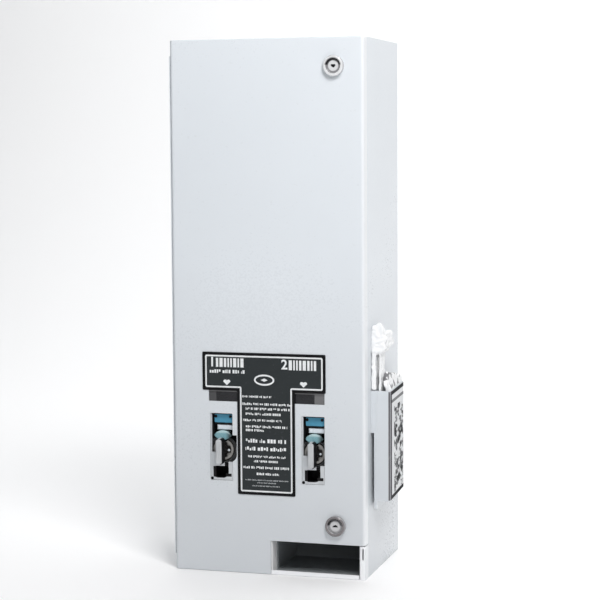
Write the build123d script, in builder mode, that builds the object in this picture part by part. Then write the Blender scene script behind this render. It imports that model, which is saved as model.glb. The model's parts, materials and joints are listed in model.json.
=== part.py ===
"""Wall vending machine with two coin mechanisms, in millimetres.

X runs to the right of someone who faces the machine, Y runs from the door to the wall and Z runs up.
The origin is the middle of the cabinet's base, half way between the door's face and the wall.
"""

from build123d import *

import math
import os

# Cabinet, whose depth includes the closed door
cabinet_width = 254.0
cabinet_depth = 184.0
cabinet_height = 680.0
cabinet_sheet = 1.2
cabinet_bend = 3.0
return_width = 12.0
cap_flange = 12.0
cap_corner = 2.0

# Door
door_depth = 16.0
door_sheet = 1.5
door_bend = 4.5
door_edge_round = 1.0
seam_gap = 0.3
door_foot_gap = 0.4
stiffener_width = 28.0
stiffener_foot = 8.0
stiffener_height = 8.5
stiffener_sheet = 1.0
stiffener_bottom = 310.0
stiffener_top_gap = 40.0

# Opening for the delivery tray at the lower right, with the cabinet's toe that fills the door's notch
notch_left = 2.5
notch_top = 44.0
notch_gap = 0.5
toe_height = 43.0
lip_height = 6.0
lip_bend = 1.5
strip_width = 8.0
strip_slot_x = 124.0
strip_slot_width = 1.8
strip_slot_bottom = 26.0
strip_slot_height = 14.0
jamb_depth = 23.0

# Wall fixing holes
wall_hole_radius = 3.5
wall_hole_spacing_x = 222.0
wall_hole_bottom_gap = 90.0
wall_hole_top_gap = 70.0

# Continuous hinge on the left side
knuckle_radius = 2.8
knuckle_count = 9
knuckle_gap = 0.4
knuckle_stand_off = 0.15
hinge_pin_radius = 1.2
hinge_pin_clearance = 0.05
hinge_end_gap = 20.0
hinge_leaf_sheet = 1.0
hinge_leaf_width = 14.0
hinge_leaf_clearance = 3.4

# Instruction plate, a T whose arms pass over the two windows
plate_sheet = 0.8
plate_round = 1.5
plate_left = -86.8
plate_right = 76.5
plate_top = 284.8
plate_arm_bottom = 235.7
stem_left = -40.4
stem_right = 36.0
stem_bottom = 102.6

# Windows under the arms
window_left_outer = -79.0
window_right_outer = 74.8
window_bottom = 221.5
window_height = 23.0
window_under_stem = 2.5
pane_sheet = 1.2
pane_overlap = 3.0
bracket_sheet = 1.0
bracket_reach = 10.0
bracket_foot = 4.0
bracket_gap = 0.1

# Cam locks
lock_x = 89.0
lock_upper_top_gap = 35.8
lock_lower_z = 68.0
lock_collar_radius = 13.0
lock_collar_height = 6.0
lock_collar_chamfer = 1.2
lock_recess_radius = 8.2
lock_recess_depth = 3.0
lock_recess_flare = 1.3
lock_barrel_radius = 9.5
lock_barrel_length = 15.4
lock_hole_clearance = 0.15
lock_plug_radius = 6.5
lock_plug_setback = 0.6
lock_neck_radius = 4.0
lock_fit = 0.05
key_slot_length = 6.0
key_slot_width = 1.7
key_slot_depth = 7.0
cam_sheet = 2.0
cam_width = 14.0
cam_reach = 28.0
cam_gap = 0.3
lock_nut_flats = 24.0
lock_nut_height = 4.0
cam_screw_radius = 6.0
cam_screw_height = 3.0

# Coin mechanisms, seen through cut-outs of the door
mech_left_x = -62.4
mech_right_x = 59.6
mech_cut_width = 30.0
mech_cut_bottom = 119.3
mech_cut_height = 86.6
mech_cut_round = 1.0
bulge_reach = 20.5
bulge_bottom = 142.6
bulge_top = 178.0
bulge_round = 11.0
case_width = 34.0
case_bottom = 115.0
case_height = 92.0
case_depth = 28.0
case_round = 3.0
face_depth = 10.0
mech_plate_depth = 44.0
knob_z = 158.0
wheel_radius = 15.0
wheel_thickness = 7.0
wheel_case_gap = 1.0
wheel_chamfer = 0.8
wheel_coin_notch = 6.0
wheel_screw_radius = 2.1
wheel_screw_circle = 10.2
wheel_screw_height = 0.8
wheel_hub_radius = 5.8
ring_radius = 18.6
ring_clearance = 0.6
ring_depth = 9.0
ring_top = 172.0
head_block_width = 25.0
head_block_bottom = 191.5
head_block_top = 205.0
coin_slot_height = 1.5
coin_slot_length = 26.0
coin_slot_depth = 10.0
slot_bar_left = 7.6
slot_bar_right = 14.0
slot_bar_height = 6.2
slot_bar_chamfer = 1.2
price_plate_width = 24.0
price_plate_height = 10.8
price_plate_sheet = 1.2
price_plate_bottom = 193.4
price_plate_shift = 1.3
price_screw_radius = 1.7
price_screw_height = 1.0
price_screw_inset = 2.4

# Light casting in the cut-out: a front plate with a wing over the wheel, a side wall and a ring
front_sheet = 2.0
front_setback = 0.2
front_side_gap = 0.4
front_bottom_gap = 0.4
front_wing_top = 155.6
front_shoulder_top = 143.4
front_wing_right = 3.6
front_shoulder_left = 9.2
front_hub_gap = 0.7
front_wall = 1.4
front_screw_inset = 2.6
return_left = 9.2
return_right = 9.4
return_bottom = 122.2
return_top = 137.8
return_round = 2.4
return_lip_round = 8.0
return_depth = 24.0
return_roof = 1.2

# Slot through which a coin leaves the mechanism's case
coin_exit_length = 26.0
coin_exit_width = 4.0
coin_exit_depth = 14.0
coin_exit_gap = 10.0
guide_half_width = 12.0
guide_middle_z = 176.6
guide_rise = 6.4
guide_fall = 6.0
guide_thickness = 3.5
guide_stem_width = 14.0
guide_stem_height = 5.6
guide_stem_bottom = 175.4
guide_wheel_gap = 0.6
guide_chamfer = 1.0

# Knobs, with the shafts, pinions and racks that they turn
shaft_radius = 4.0
shaft_fit = 0.05
press_clearance = 0.02
shaft_rear_stand = 2.0
grip_width = 9.4
grip_height = 33.0
grip_depth = 12.0
grip_taper = 2.0
grip_round = 3.4
grip_edge_chamfer = 1.0
grip_groove_width = 1.0
grip_groove_depth = 0.8
grip_groove_pitch = 2.2
grip_grooves = 3
grip_door_gap = 1.2
shaft_in_grip = 8.0
shaft_in_grip_radius = 2.5
knob_turn_degrees = 180.0
gear_module = 0.8
pinion_teeth = 18
pressure_angle = 20.0
gear_backlash = 0.12
pinion_width = 5.0
pinion_plate_gap = 1.0
rack_tooth_margin = 5.0

# Plate that carries both mechanisms
mech_plate_sheet = 1.5
mech_plate_bottom = 52.0
mech_plate_top = 208.0
mech_plate_flange = 13.5
mech_plate_hole = 5.0

# Product columns, their follower weights and the slides that let one product fall
magazine_width = 76.0
magazine_sheet = 1.0
magazine_plate_gap = 10.0
magazine_bottom = 211.2
magazine_top_gap = 40.0
magazine_lip = 10.0
ledge_width = 21.0
weight_height = 12.0
weight_side_clearance = 1.0
weight_end_clearance = 0.6
weight_stand = 0.4
weight_finger_radius = 12.0
weight_round = 2.0
slide_plate = 3.0
slide_gap = 0.3
slide_left_reach = 30.0
slide_top_drop = 6.0
slide_ledge_sheet = 1.2
slide_ledge_back_gap = 30.8
stud_radius = 3.0
stud_head_radius = 5.5
stud_head_height = 1.6
stud_slot_fit = 0.08
stud_offset = 1.0
stud_rows = (177.0, 200.0)

# Way of the product to the tray
chute_sheet = 1.2
chute_left_z = 118.0
tray_sheet = 1.2
tray_wall_top = 50.0
tray_floor_length = 99.0
tray_back_gap = 2.8
tray_back_z = 48.0
tray_side_gap = 0.1

# Coin box and the trough that leads the right mechanism's coins to it
box_left = -121.0
box_right = -3.0
box_front_gap = 3.0
box_length = 93.0
box_height = 42.8
box_sheet = 1.0
box_finger_radius = 9.0
box_finger_z = 28.0
trough_sheet = 1.0
trough_right_x = 78.0
trough_right_z = 101.0
trough_left_x = -8.0
trough_left_z = 51.0
trough_width = 25.5
trough_wall = 8.0

# Holder for disposal bags on the right side
holder_sheet = 1.0
holder_seam_gap = 16.0
holder_length = 100.0
holder_bottom = 96.0
holder_top = 237.0
holder_stand_off = 6.5
holder_front_depth = 17.4
holder_back_depth = 11.6
holder_bend = 1.5
bracket_bottom = 85.5
bracket_step_z = 183.0
bracket_hem = 2.7
foot_length = 11.0
foot_bottom = 190.0
foot_height = 42.0
holder_screw_radius = 1.9
holder_screw_head = 3.0
holder_screw_head_height = 1.4
holder_screw_length = 5.0
holder_screw_rise = 11.0
label_sheet = 0.4
label_margin = 1.0
bag_gap = 0.3
bag_outer_thickness = 5.0
bag_outer_rise = 8.0
bag_outer_peak_rise = 22.0
bag_outer_peak_place = 24.0
bag_inner_length = 23.0
bag_inner_leg = 3.0
bag_inner_saddle = 2.1
bag_inner_saddle_rise = 46.0
bag_inner_rise = 84.0
bag_inner_shoulder = 5.5

# Places that follow from the sizes above
side_x = cabinet_width / 2
front_y = -cabinet_depth / 2
plate_front_y = front_y + mech_plate_depth
back_y = cabinet_depth / 2
seam_y = front_y + door_depth
door_back_y = seam_y - seam_gap
door_inside_y = front_y + door_sheet
inner_x = side_x - cabinet_sheet
inner_back_y = back_y - cabinet_sheet
notch_edge = notch_left + notch_gap
strip_left = side_x - strip_width
lock_upper_z = cabinet_height - lock_upper_top_gap
stiffener_top = cabinet_height - stiffener_top_gap
hinge_length = cabinet_height - 2 * hinge_end_gap
wall_hole_spacing_z = cabinet_height - wall_hole_top_gap - wall_hole_bottom_gap
wall_hole_middle_z = wall_hole_bottom_gap + wall_hole_spacing_z / 2
case_front_y = plate_front_y - case_depth
face_y = case_front_y - face_depth
casting_front_y = front_y + front_setback
casting_back_y = casting_front_y + front_sheet
casting_bottom = mech_cut_bottom + front_bottom_gap
casting_half_width = mech_cut_width / 2 - front_side_gap
coin_exit_y = plate_front_y - coin_exit_gap
slot_bar_top = head_block_bottom - coin_slot_height
wheel_back_y = case_front_y - wheel_case_gap
wheel_front_y = wheel_back_y - wheel_thickness
plate_back_y = plate_front_y + mech_plate_sheet
pinion_front_y = plate_back_y + pinion_plate_gap
pinion_back_y = pinion_front_y + pinion_width
slide_back_y = (pinion_front_y + pinion_back_y + slide_plate) / 2
slide_front_y = slide_back_y - slide_plate
pitch_radius = gear_module * pinion_teeth / 2
slide_travel = pitch_radius * math.radians(knob_turn_degrees)
rack_pitch_z = knob_z + pitch_radius
rack_root_z = rack_pitch_z + 1.25 * gear_module
slide_ledge_top = magazine_bottom - slide_gap
slide_ledge_back_y = inner_back_y - slide_ledge_back_gap
magazine_front_y = plate_front_y + magazine_plate_gap
magazine_top = cabinet_height - magazine_top_gap
tray_floor_end_y = front_y + tray_floor_length
tray_back_y = inner_back_y - tray_back_gap
box_front_y = seam_y + box_front_gap
box_back_y = box_front_y + box_length
grip_back_y = front_y - grip_door_gap
grip_front_y = grip_back_y - grip_depth
lock_front_y = front_y - lock_collar_height
lock_recess_y = lock_front_y + lock_recess_depth
cam_front_y = seam_y + cabinet_sheet + cam_gap
cam_back_y = cam_front_y + cam_sheet
holder_front_y = seam_y + holder_seam_gap
holder_back_y = holder_front_y + holder_length
pocket_x = side_x + holder_stand_off + holder_sheet
pocket_front_x = pocket_x + holder_front_depth
pocket_back_x = pocket_x + holder_back_depth
label_face = Plane(
    origin=(pocket_front_x, holder_front_y, 0),
    x_dir=(pocket_back_x - pocket_front_x, holder_length, 0),
    z_dir=(holder_length, pocket_front_x - pocket_back_x, 0),
)
label_face_length = math.hypot(holder_length, pocket_front_x - pocket_back_x)


def front_plane(y):
    """Upright plane at a depth, seen from the door, whose normal points to the customer."""
    return Plane.XZ.offset(-y)


def side_plane(x):
    """Upright plane at a width, whose local x runs to the wall and whose normal points right."""
    return Plane.YZ.offset(x)


def level_plane(z):
    """Level plane at a height."""
    return Plane.XY.offset(z)


def span(left, right, low, high, mode=Mode.ADD):
    """Draws a rectangle between two limits each way."""
    with Locations(((left + right) / 2, (low + high) / 2)):
        Rectangle(right - left, high - low, mode=mode)


def slab(plane, left, right, low, high, thickness, mode=Mode.ADD):
    """Raises a rectangle of the plane by a thickness."""
    with BuildSketch(plane) as face:
        span(left, right, low, high)
    extrude(face.sketch, amount=thickness, mode=mode)


def disc(plane, x, y, radius, thickness, mode=Mode.ADD):
    """Raises a circle of the plane by a thickness."""
    with BuildSketch(plane) as face:
        with Locations((x, y)):
            Circle(radius)
    extrude(face.sketch, amount=thickness, mode=mode)


def folded_sheet(plane, corners, sheet, length, side, bend=0.0, mode=Mode.ADD):
    """Folds a sheet along its corners, with the line on one face of it, and gives it a length."""
    with BuildSketch(plane) as face:
        with BuildLine():
            if bend > 0:
                line = FilletPolyline(*corners, radius=bend)
            else:
                line = Polyline(*corners)
            offset(line, amount=sheet, kind=Kind.INTERSECTION, side=side)
        make_face()
    extrude(face.sketch, amount=length, mode=mode)


def outline(plane, corners, thickness, mode=Mode.ADD):
    """Raises a closed run of corners by a thickness."""
    with BuildSketch(plane) as face:
        with BuildLine():
            Polyline(*corners, close=True)
        make_face()
    extrude(face.sketch, amount=thickness, mode=mode)


def return_opening(y, middle, depth):
    """Cuts the coin return's opening, whose lower right corner is round like a cup's lip."""
    with BuildSketch(front_plane(y)) as face:
        span(middle - return_left, middle + return_right, return_bottom, return_top)
        lip = (middle + return_right, return_bottom)
        fillet(face.vertices().sort_by_distance(lip)[1:], return_round)
        fillet(face.vertices().sort_by_distance(lip)[0], return_lip_round)
    extrude(face.sketch, amount=depth, mode=Mode.SUBTRACT)


def cap(height, run, tongue_right):
    """Forms a cap inside the body, with a tongue between its front returns and flanges up or down."""
    tongue_left = -side_x + return_width
    with BuildSketch(level_plane(height)) as plan:
        span(-inner_x, inner_x, seam_y + cabinet_sheet, inner_back_y)
        fillet(plan.vertices(), cap_corner)
        span(tongue_left, tongue_right, seam_y, seam_y + 2 * cabinet_sheet)
    with BuildSketch(level_plane(height + run * cabinet_sheet)) as hollow:
        span(
            -inner_x + cabinet_sheet,
            inner_x - cabinet_sheet,
            seam_y + 2 * cabinet_sheet,
            inner_back_y - cabinet_sheet,
        )
        span(
            tongue_left + cabinet_sheet,
            tongue_right - cabinet_sheet,
            seam_y + cabinet_sheet,
            seam_y + 3 * cabinet_sheet,
        )
    extrude(plan.sketch, amount=run * cap_flange)
    extrude(hollow.sketch, amount=run * cap_flange, mode=Mode.SUBTRACT)


def turned(x, z, profile, mode=Mode.ADD):
    """Turns a profile of radius and depth about a line that runs from front to back."""
    with BuildSketch(Plane(origin=(x, 0, z), x_dir=(1, 0, 0), z_dir=(0, 0, 1))) as face:
        with BuildLine():
            Polyline(*profile, close=True)
        make_face()
    revolve(face.sketch, axis=Axis((x, 0, z), (0, 1, 0)), mode=mode)


def involute(angle):
    """Involute function of a pressure angle."""
    return math.tan(angle) - angle


def gear_points(teeth, module, backlash):
    """Corners of a spur gear's rim about the origin, with one tooth on the local +Y axis."""
    pitch = module * teeth / 2
    base = pitch * math.cos(math.radians(pressure_angle))
    root = pitch - 1.25 * module
    tip = pitch + 0.95 * module
    half_tooth = (math.pi * module / 2 - backlash) / 2 / pitch
    at_pitch = involute(math.radians(pressure_angle))
    flank = []
    for share in (0.0, 0.5, 1.0):
        radius = base + (tip - base) * share
        flank.append((radius, half_tooth + at_pitch - involute(math.acos(base / radius))))
    flank.insert(0, (root, flank[0][1]))
    points = []
    for tooth in range(teeth):
        middle = math.pi / 2 - tooth * 2 * math.pi / teeth
        angles = [(r, middle + a) for r, a in flank] + [(r, middle - a) for r, a in reversed(flank)]
        points += [(r * math.cos(a), r * math.sin(a)) for r, a in angles]
    return points


def rack_points(left, right, middle):
    """Corners of a rack's toothed edge from left to right, with a gap between teeth at the middle."""
    pitch = math.pi * gear_module
    slope = math.tan(math.radians(pressure_angle))
    addendum = 0.95 * gear_module
    half_at_pitch = (math.pi * gear_module / 2 - gear_backlash) / 2
    half_at_tip = half_at_pitch - addendum * slope
    half_at_root = half_at_pitch + (rack_root_z - rack_pitch_z) * slope
    first = math.ceil((left + half_at_root - middle) / pitch - 0.5)
    last = math.floor((right - half_at_root - middle) / pitch - 0.5)
    points = []
    for tooth in range(first, last + 1):
        x = middle + (tooth + 0.5) * pitch
        points.append((x - half_at_root, rack_root_z))
        points.append((x - half_at_tip, rack_pitch_z - addendum))
        points.append((x + half_at_tip, rack_pitch_z - addendum))
        points.append((x + half_at_root, rack_root_z))
    return points


def write(part, name):
    """Labels a finished piece and writes its file."""
    part.label = name
    export_step(part, f"parts/{name}.step")


os.makedirs("parts", exist_ok=True)

# Cabinet body: both sides and the back in one folded sheet, with the toe beside the tray
with BuildPart() as cabinet_body:
    folded_sheet(
        Plane.XY,
        [
            (-side_x + return_width, seam_y),
            (-side_x, seam_y),
            (-side_x, back_y),
            (side_x, back_y),
            (side_x, seam_y),
            (side_x - return_width, seam_y),
        ],
        cabinet_sheet,
        cabinet_height,
        Side.RIGHT,
        cabinet_bend,
    )
    slab(
        Plane.XY,
        side_x - return_width - cabinet_sheet,
        side_x + cabinet_sheet,
        seam_y - cabinet_sheet,
        seam_y + cabinet_bend,
        toe_height,
        Mode.SUBTRACT,
    )
    folded_sheet(
        Plane.XY,
        [
            (strip_left, front_y + jamb_depth),
            (strip_left, front_y),
            (side_x, front_y),
            (side_x, seam_y + cabinet_bend),
        ],
        cabinet_sheet,
        toe_height,
        Side.LEFT,
        cabinet_bend,
    )
    slab(
        front_plane(front_y + cabinet_sheet),
        strip_slot_x - strip_slot_width / 2,
        strip_slot_x + strip_slot_width / 2,
        strip_slot_bottom,
        strip_slot_bottom + strip_slot_height,
        2 * cabinet_sheet,
        Mode.SUBTRACT,
    )
    with BuildSketch(front_plane(back_y)):
        with Locations((0, wall_hole_middle_z)):
            with GridLocations(wall_hole_spacing_x, wall_hole_spacing_z, 2, 2):
                Circle(wall_hole_radius)
    extrude(amount=2 * cabinet_sheet, mode=Mode.SUBTRACT)
    with BuildSketch(side_plane(inner_x - cabinet_sheet)):
        with Locations(((holder_front_y + holder_back_y) / 2, foot_bottom + foot_height / 2)):
            with GridLocations(
                holder_length - 2 * holder_sheet - foot_length,
                foot_height - 2 * holder_screw_rise,
                2,
                2,
            ):
                Circle(holder_screw_radius + press_clearance)
    extrude(amount=3 * cabinet_sheet, mode=Mode.SUBTRACT)
write(cabinet_body.part, "cabinet_body")

# Cabinet top
with BuildPart() as cabinet_top:
    cap(cabinet_height, -1, side_x - return_width)
write(cabinet_top.part, "cabinet_top")

# Cabinet floor: a cap like the top's, run forward under the tray to a lip and a jamb
with BuildPart() as cabinet_floor:
    cap(0, 1, notch_edge)
    slab(
        level_plane(cabinet_sheet),
        notch_edge,
        side_x,
        seam_y,
        front_y + jamb_depth,
        cap_flange,
        Mode.SUBTRACT,
    )
    slab(
        level_plane(0),
        strip_left,
        side_x,
        seam_y,
        front_y + jamb_depth,
        cap_flange,
        Mode.SUBTRACT,
    )
    folded_sheet(
        side_plane(notch_edge),
        [(front_y, lip_height), (front_y, 0), (front_y + jamb_depth, 0)],
        cabinet_sheet,
        strip_left - notch_edge,
        Side.LEFT,
        lip_bend,
    )
    slab(
        side_plane(notch_edge),
        front_y + cabinet_sheet,
        front_y + jamb_depth,
        cabinet_sheet / 2,
        toe_height,
        cabinet_sheet,
    )
write(cabinet_floor.part, "cabinet_floor")

# Continuous hinge: two leaves with interleaved knuckles on one pin
knuckle_x = -side_x - knuckle_radius - knuckle_stand_off
hinge_bottom = (cabinet_height - hinge_length) / 2
knuckle_pitch = hinge_length / knuckle_count
for leaf_name, first_knuckle, run in (("cabinet", 0, 1), ("door", 1, -1)):
    with BuildPart() as hinge_leaf:
        near_y = seam_y + run * hinge_leaf_clearance
        far_y = seam_y + run * hinge_leaf_width
        slab(
            level_plane(hinge_bottom),
            -side_x - hinge_leaf_sheet,
            -side_x,
            min(near_y, far_y),
            max(near_y, far_y),
            hinge_length,
        )
        for knuckle in range(first_knuckle, knuckle_count, 2):
            with BuildSketch(level_plane(hinge_bottom + knuckle * knuckle_pitch + knuckle_gap / 2)):
                span(
                    -side_x - hinge_leaf_sheet,
                    -side_x - knuckle_stand_off,
                    min(seam_y, near_y + run),
                    max(seam_y, near_y + run),
                )
                with Locations((knuckle_x, seam_y)):
                    Circle(knuckle_radius)
                    Circle(hinge_pin_radius + hinge_pin_clearance, mode=Mode.SUBTRACT)
            extrude(amount=knuckle_pitch - knuckle_gap)
    write(hinge_leaf.part, f"hinge_leaf_{leaf_name}")

with BuildPart() as hinge_pin:
    disc(level_plane(hinge_bottom), knuckle_x, seam_y, hinge_pin_radius, hinge_length)
write(hinge_pin.part, "hinge_pin")

# Door: a pan of sheet with a notch for the tray, rounded where it is folded
with BuildPart() as door_skin:
    slab(
        front_plane(door_back_y),
        -side_x,
        side_x,
        door_foot_gap,
        cabinet_height,
        door_depth - seam_gap,
    )
    upright = door_skin.edges().filter_by(Axis.Z).group_by(Axis.Y)[0]
    fillet(upright, door_bend)
    slab(
        front_plane(door_back_y),
        notch_left,
        side_x,
        door_foot_gap,
        notch_top,
        door_depth,
        Mode.SUBTRACT,
    )
    offset(amount=-door_sheet, openings=door_skin.faces().sort_by(Axis.Y)[-1])
    fillet(door_skin.edges().group_by(Axis.Z)[-1].filter_by(Axis.X).sort_by(Axis.Y)[0], door_edge_round)
    with BuildSketch(front_plane(door_inside_y + door_sheet)):
        for outer, inner in (
            (window_left_outer, stem_left + window_under_stem),
            (window_right_outer, stem_right - window_under_stem),
        ):
            span(min(outer, inner), max(outer, inner), window_bottom, window_bottom + window_height)
        for mech_x in (mech_left_x, mech_right_x):
            with Locations((mech_x, mech_cut_bottom + mech_cut_height / 2)):
                RectangleRounded(mech_cut_width, mech_cut_height, mech_cut_round)
        for lock_z in (lock_upper_z, lock_lower_z):
            with Locations((lock_x, lock_z)):
                Circle(lock_barrel_radius + lock_hole_clearance)
    extrude(amount=3 * door_sheet, mode=Mode.SUBTRACT)
    with BuildSketch(front_plane(door_inside_y + door_sheet)) as bulge:
        span(mech_left_x, mech_left_x + bulge_reach, bulge_bottom, bulge_top)
        fillet(bulge.vertices().group_by(Axis.X)[-1].sort_by(Axis.Y)[0], bulge_round)
    extrude(amount=3 * door_sheet, mode=Mode.SUBTRACT)
write(door_skin.part, "door_skin")

with BuildPart() as door_stiffener:
    foot_x = stiffener_width / 2 + stiffener_foot
    top_y = door_inside_y + stiffener_height
    folded_sheet(
        level_plane(stiffener_bottom),
        [
            (-foot_x, door_inside_y),
            (-stiffener_width / 2, door_inside_y),
            (-stiffener_width / 2, top_y),
            (stiffener_width / 2, top_y),
            (stiffener_width / 2, door_inside_y),
            (foot_x, door_inside_y),
        ],
        stiffener_sheet,
        stiffener_top - stiffener_bottom,
        Side.LEFT,
    )
write(door_stiffener.part, "door_stiffener")

# Instruction plate on the door
with BuildPart() as instruction_plate:
    with BuildSketch(front_plane(front_y)) as plate_face:
        span(plate_left, plate_right, plate_arm_bottom, plate_top)
        span(stem_left, stem_right, stem_bottom, plate_top)
        fillet(plate_face.vertices(), plate_round)
    extrude(amount=plate_sheet)
write(instruction_plate.part, "instruction_plate")

# Windows: a clear pane behind each cut-out, held at its outer end by a stepped bracket
for side, outer, inner, run in (
    ("left", window_left_outer, stem_left + window_under_stem, -1),
    ("right", window_right_outer, stem_right - window_under_stem, 1),
):
    pane_outer = outer + run * pane_overlap
    pane_inner = inner - run * pane_overlap
    pane_bottom = window_bottom - pane_overlap
    pane_height = window_height + 2 * pane_overlap
    with BuildPart() as window_pane:
        slab(
            front_plane(door_inside_y + pane_sheet),
            min(pane_outer, pane_inner),
            max(pane_outer, pane_inner),
            pane_bottom,
            pane_bottom + pane_height,
            pane_sheet,
        )
    write(window_pane.part, f"window_pane_{side}")
    with BuildPart() as window_bracket:
        bend_x = pane_outer + run * bracket_gap
        folded_sheet(
            level_plane(pane_bottom),
            [
                (bend_x + run * bracket_foot, door_inside_y),
                (bend_x, door_inside_y),
                (bend_x, door_inside_y + pane_sheet),
                (outer - run * bracket_reach, door_inside_y + pane_sheet),
            ],
            bracket_sheet,
            pane_height,
            Side.LEFT if run < 0 else Side.RIGHT,
        )
    write(window_bracket.part, f"window_bracket_{side}")

# Cam locks: collar and barrel, turning plug, nut, cam and the cam's screw
for place, lock_z, cam_run in (("upper", lock_upper_z, -1), ("lower", lock_lower_z, 1)):
    barrel_end_y = front_y + lock_barrel_length
    plug_front_y = lock_recess_y - lock_plug_setback
    with BuildPart() as lock_body:
        turned(
            lock_x,
            lock_z,
            [
                (lock_plug_radius + lock_fit, barrel_end_y),
                (lock_barrel_radius, barrel_end_y),
                (lock_barrel_radius, front_y),
                (lock_collar_radius, front_y),
                (lock_collar_radius, lock_front_y),
                (lock_recess_radius + lock_recess_flare, lock_front_y),
                (lock_recess_radius, lock_recess_y),
                (lock_plug_radius + lock_fit, lock_recess_y),
            ],
        )
        rim = lock_body.edges().filter_by(GeomType.CIRCLE).group_by(Axis.Y)[0].sort_by(SortBy.RADIUS)[-1]
        chamfer(rim, lock_collar_chamfer)
    write(lock_body.part, f"lock_body_{place}")

    with BuildPart() as lock_plug:
        turned(
            lock_x,
            lock_z,
            [
                (0, plug_front_y),
                (lock_plug_radius, plug_front_y),
                (lock_plug_radius, barrel_end_y),
                (lock_neck_radius, barrel_end_y),
                (lock_neck_radius, cam_back_y),
                (0, cam_back_y),
            ],
        )
        slab(
            front_plane(plug_front_y + key_slot_depth),
            lock_x - key_slot_length / 2,
            lock_x + key_slot_length / 2,
            lock_z - key_slot_width / 2,
            lock_z + key_slot_width / 2,
            key_slot_depth,
            Mode.SUBTRACT,
        )
    write(lock_plug.part, f"lock_plug_{place}")

    with BuildPart() as lock_cam:
        with BuildSketch(front_plane(cam_back_y)):
            with Locations((lock_x, lock_z + cam_run * cam_reach / 2)):
                SlotCenterToCenter(cam_reach, cam_width, rotation=90)
            with Locations((lock_x, lock_z)):
                Circle(lock_neck_radius + press_clearance, mode=Mode.SUBTRACT)
        extrude(amount=cam_sheet)
    write(lock_cam.part, f"lock_cam_{place}")

    with BuildPart() as cam_screw:
        with BuildSketch(front_plane(cam_back_y + cam_screw_height)):
            with Locations((lock_x, lock_z)):
                RegularPolygon(cam_screw_radius, 6)
        extrude(amount=cam_screw_height)
    write(cam_screw.part, f"cam_screw_{place}")

# The two nuts that hold the locks in the door
with BuildPart() as lock_nuts:
    with BuildSketch(front_plane(door_inside_y + lock_nut_height)):
        with Locations((lock_x, lock_upper_z), (lock_x, lock_lower_z)):
            RegularPolygon(lock_nut_flats / 2, 6, major_radius=False)
            Circle(lock_barrel_radius + press_clearance, mode=Mode.SUBTRACT)
    extrude(amount=lock_nut_height)
write(lock_nuts.part, "lock_nuts")

# Plate that carries the two mechanisms, folded back at both sides
with BuildPart() as mech_plate:
    folded_sheet(
        level_plane(mech_plate_bottom),
        [
            (-inner_x, plate_front_y + mech_plate_flange),
            (-inner_x, plate_front_y),
            (inner_x, plate_front_y),
            (inner_x, plate_front_y + mech_plate_flange),
        ],
        mech_plate_sheet,
        mech_plate_top - mech_plate_bottom,
        Side.LEFT,
    )
    with BuildSketch(front_plane(plate_back_y)):
        with Locations((mech_left_x, knob_z), (mech_right_x, knob_z)):
            Circle(mech_plate_hole)
    extrude(amount=2 * mech_plate_sheet, mode=Mode.SUBTRACT)
write(mech_plate.part, "mech_plate")

# Studs on the back of the plate that the slides run on
with BuildPart() as slide_studs:
    for mech_x in (mech_left_x, mech_right_x):
        for stud_z in stud_rows:
            turned(
                mech_x + stud_offset,
                stud_z,
                [
                    (0, plate_back_y),
                    (stud_radius, plate_back_y),
                    (stud_radius, slide_back_y + slide_gap),
                    (stud_head_radius, slide_back_y + slide_gap),
                    (stud_head_radius, slide_back_y + slide_gap + stud_head_height),
                    (0, slide_back_y + slide_gap + stud_head_height),
                ],
            )
write(slide_studs.part, "slide_studs")

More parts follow.
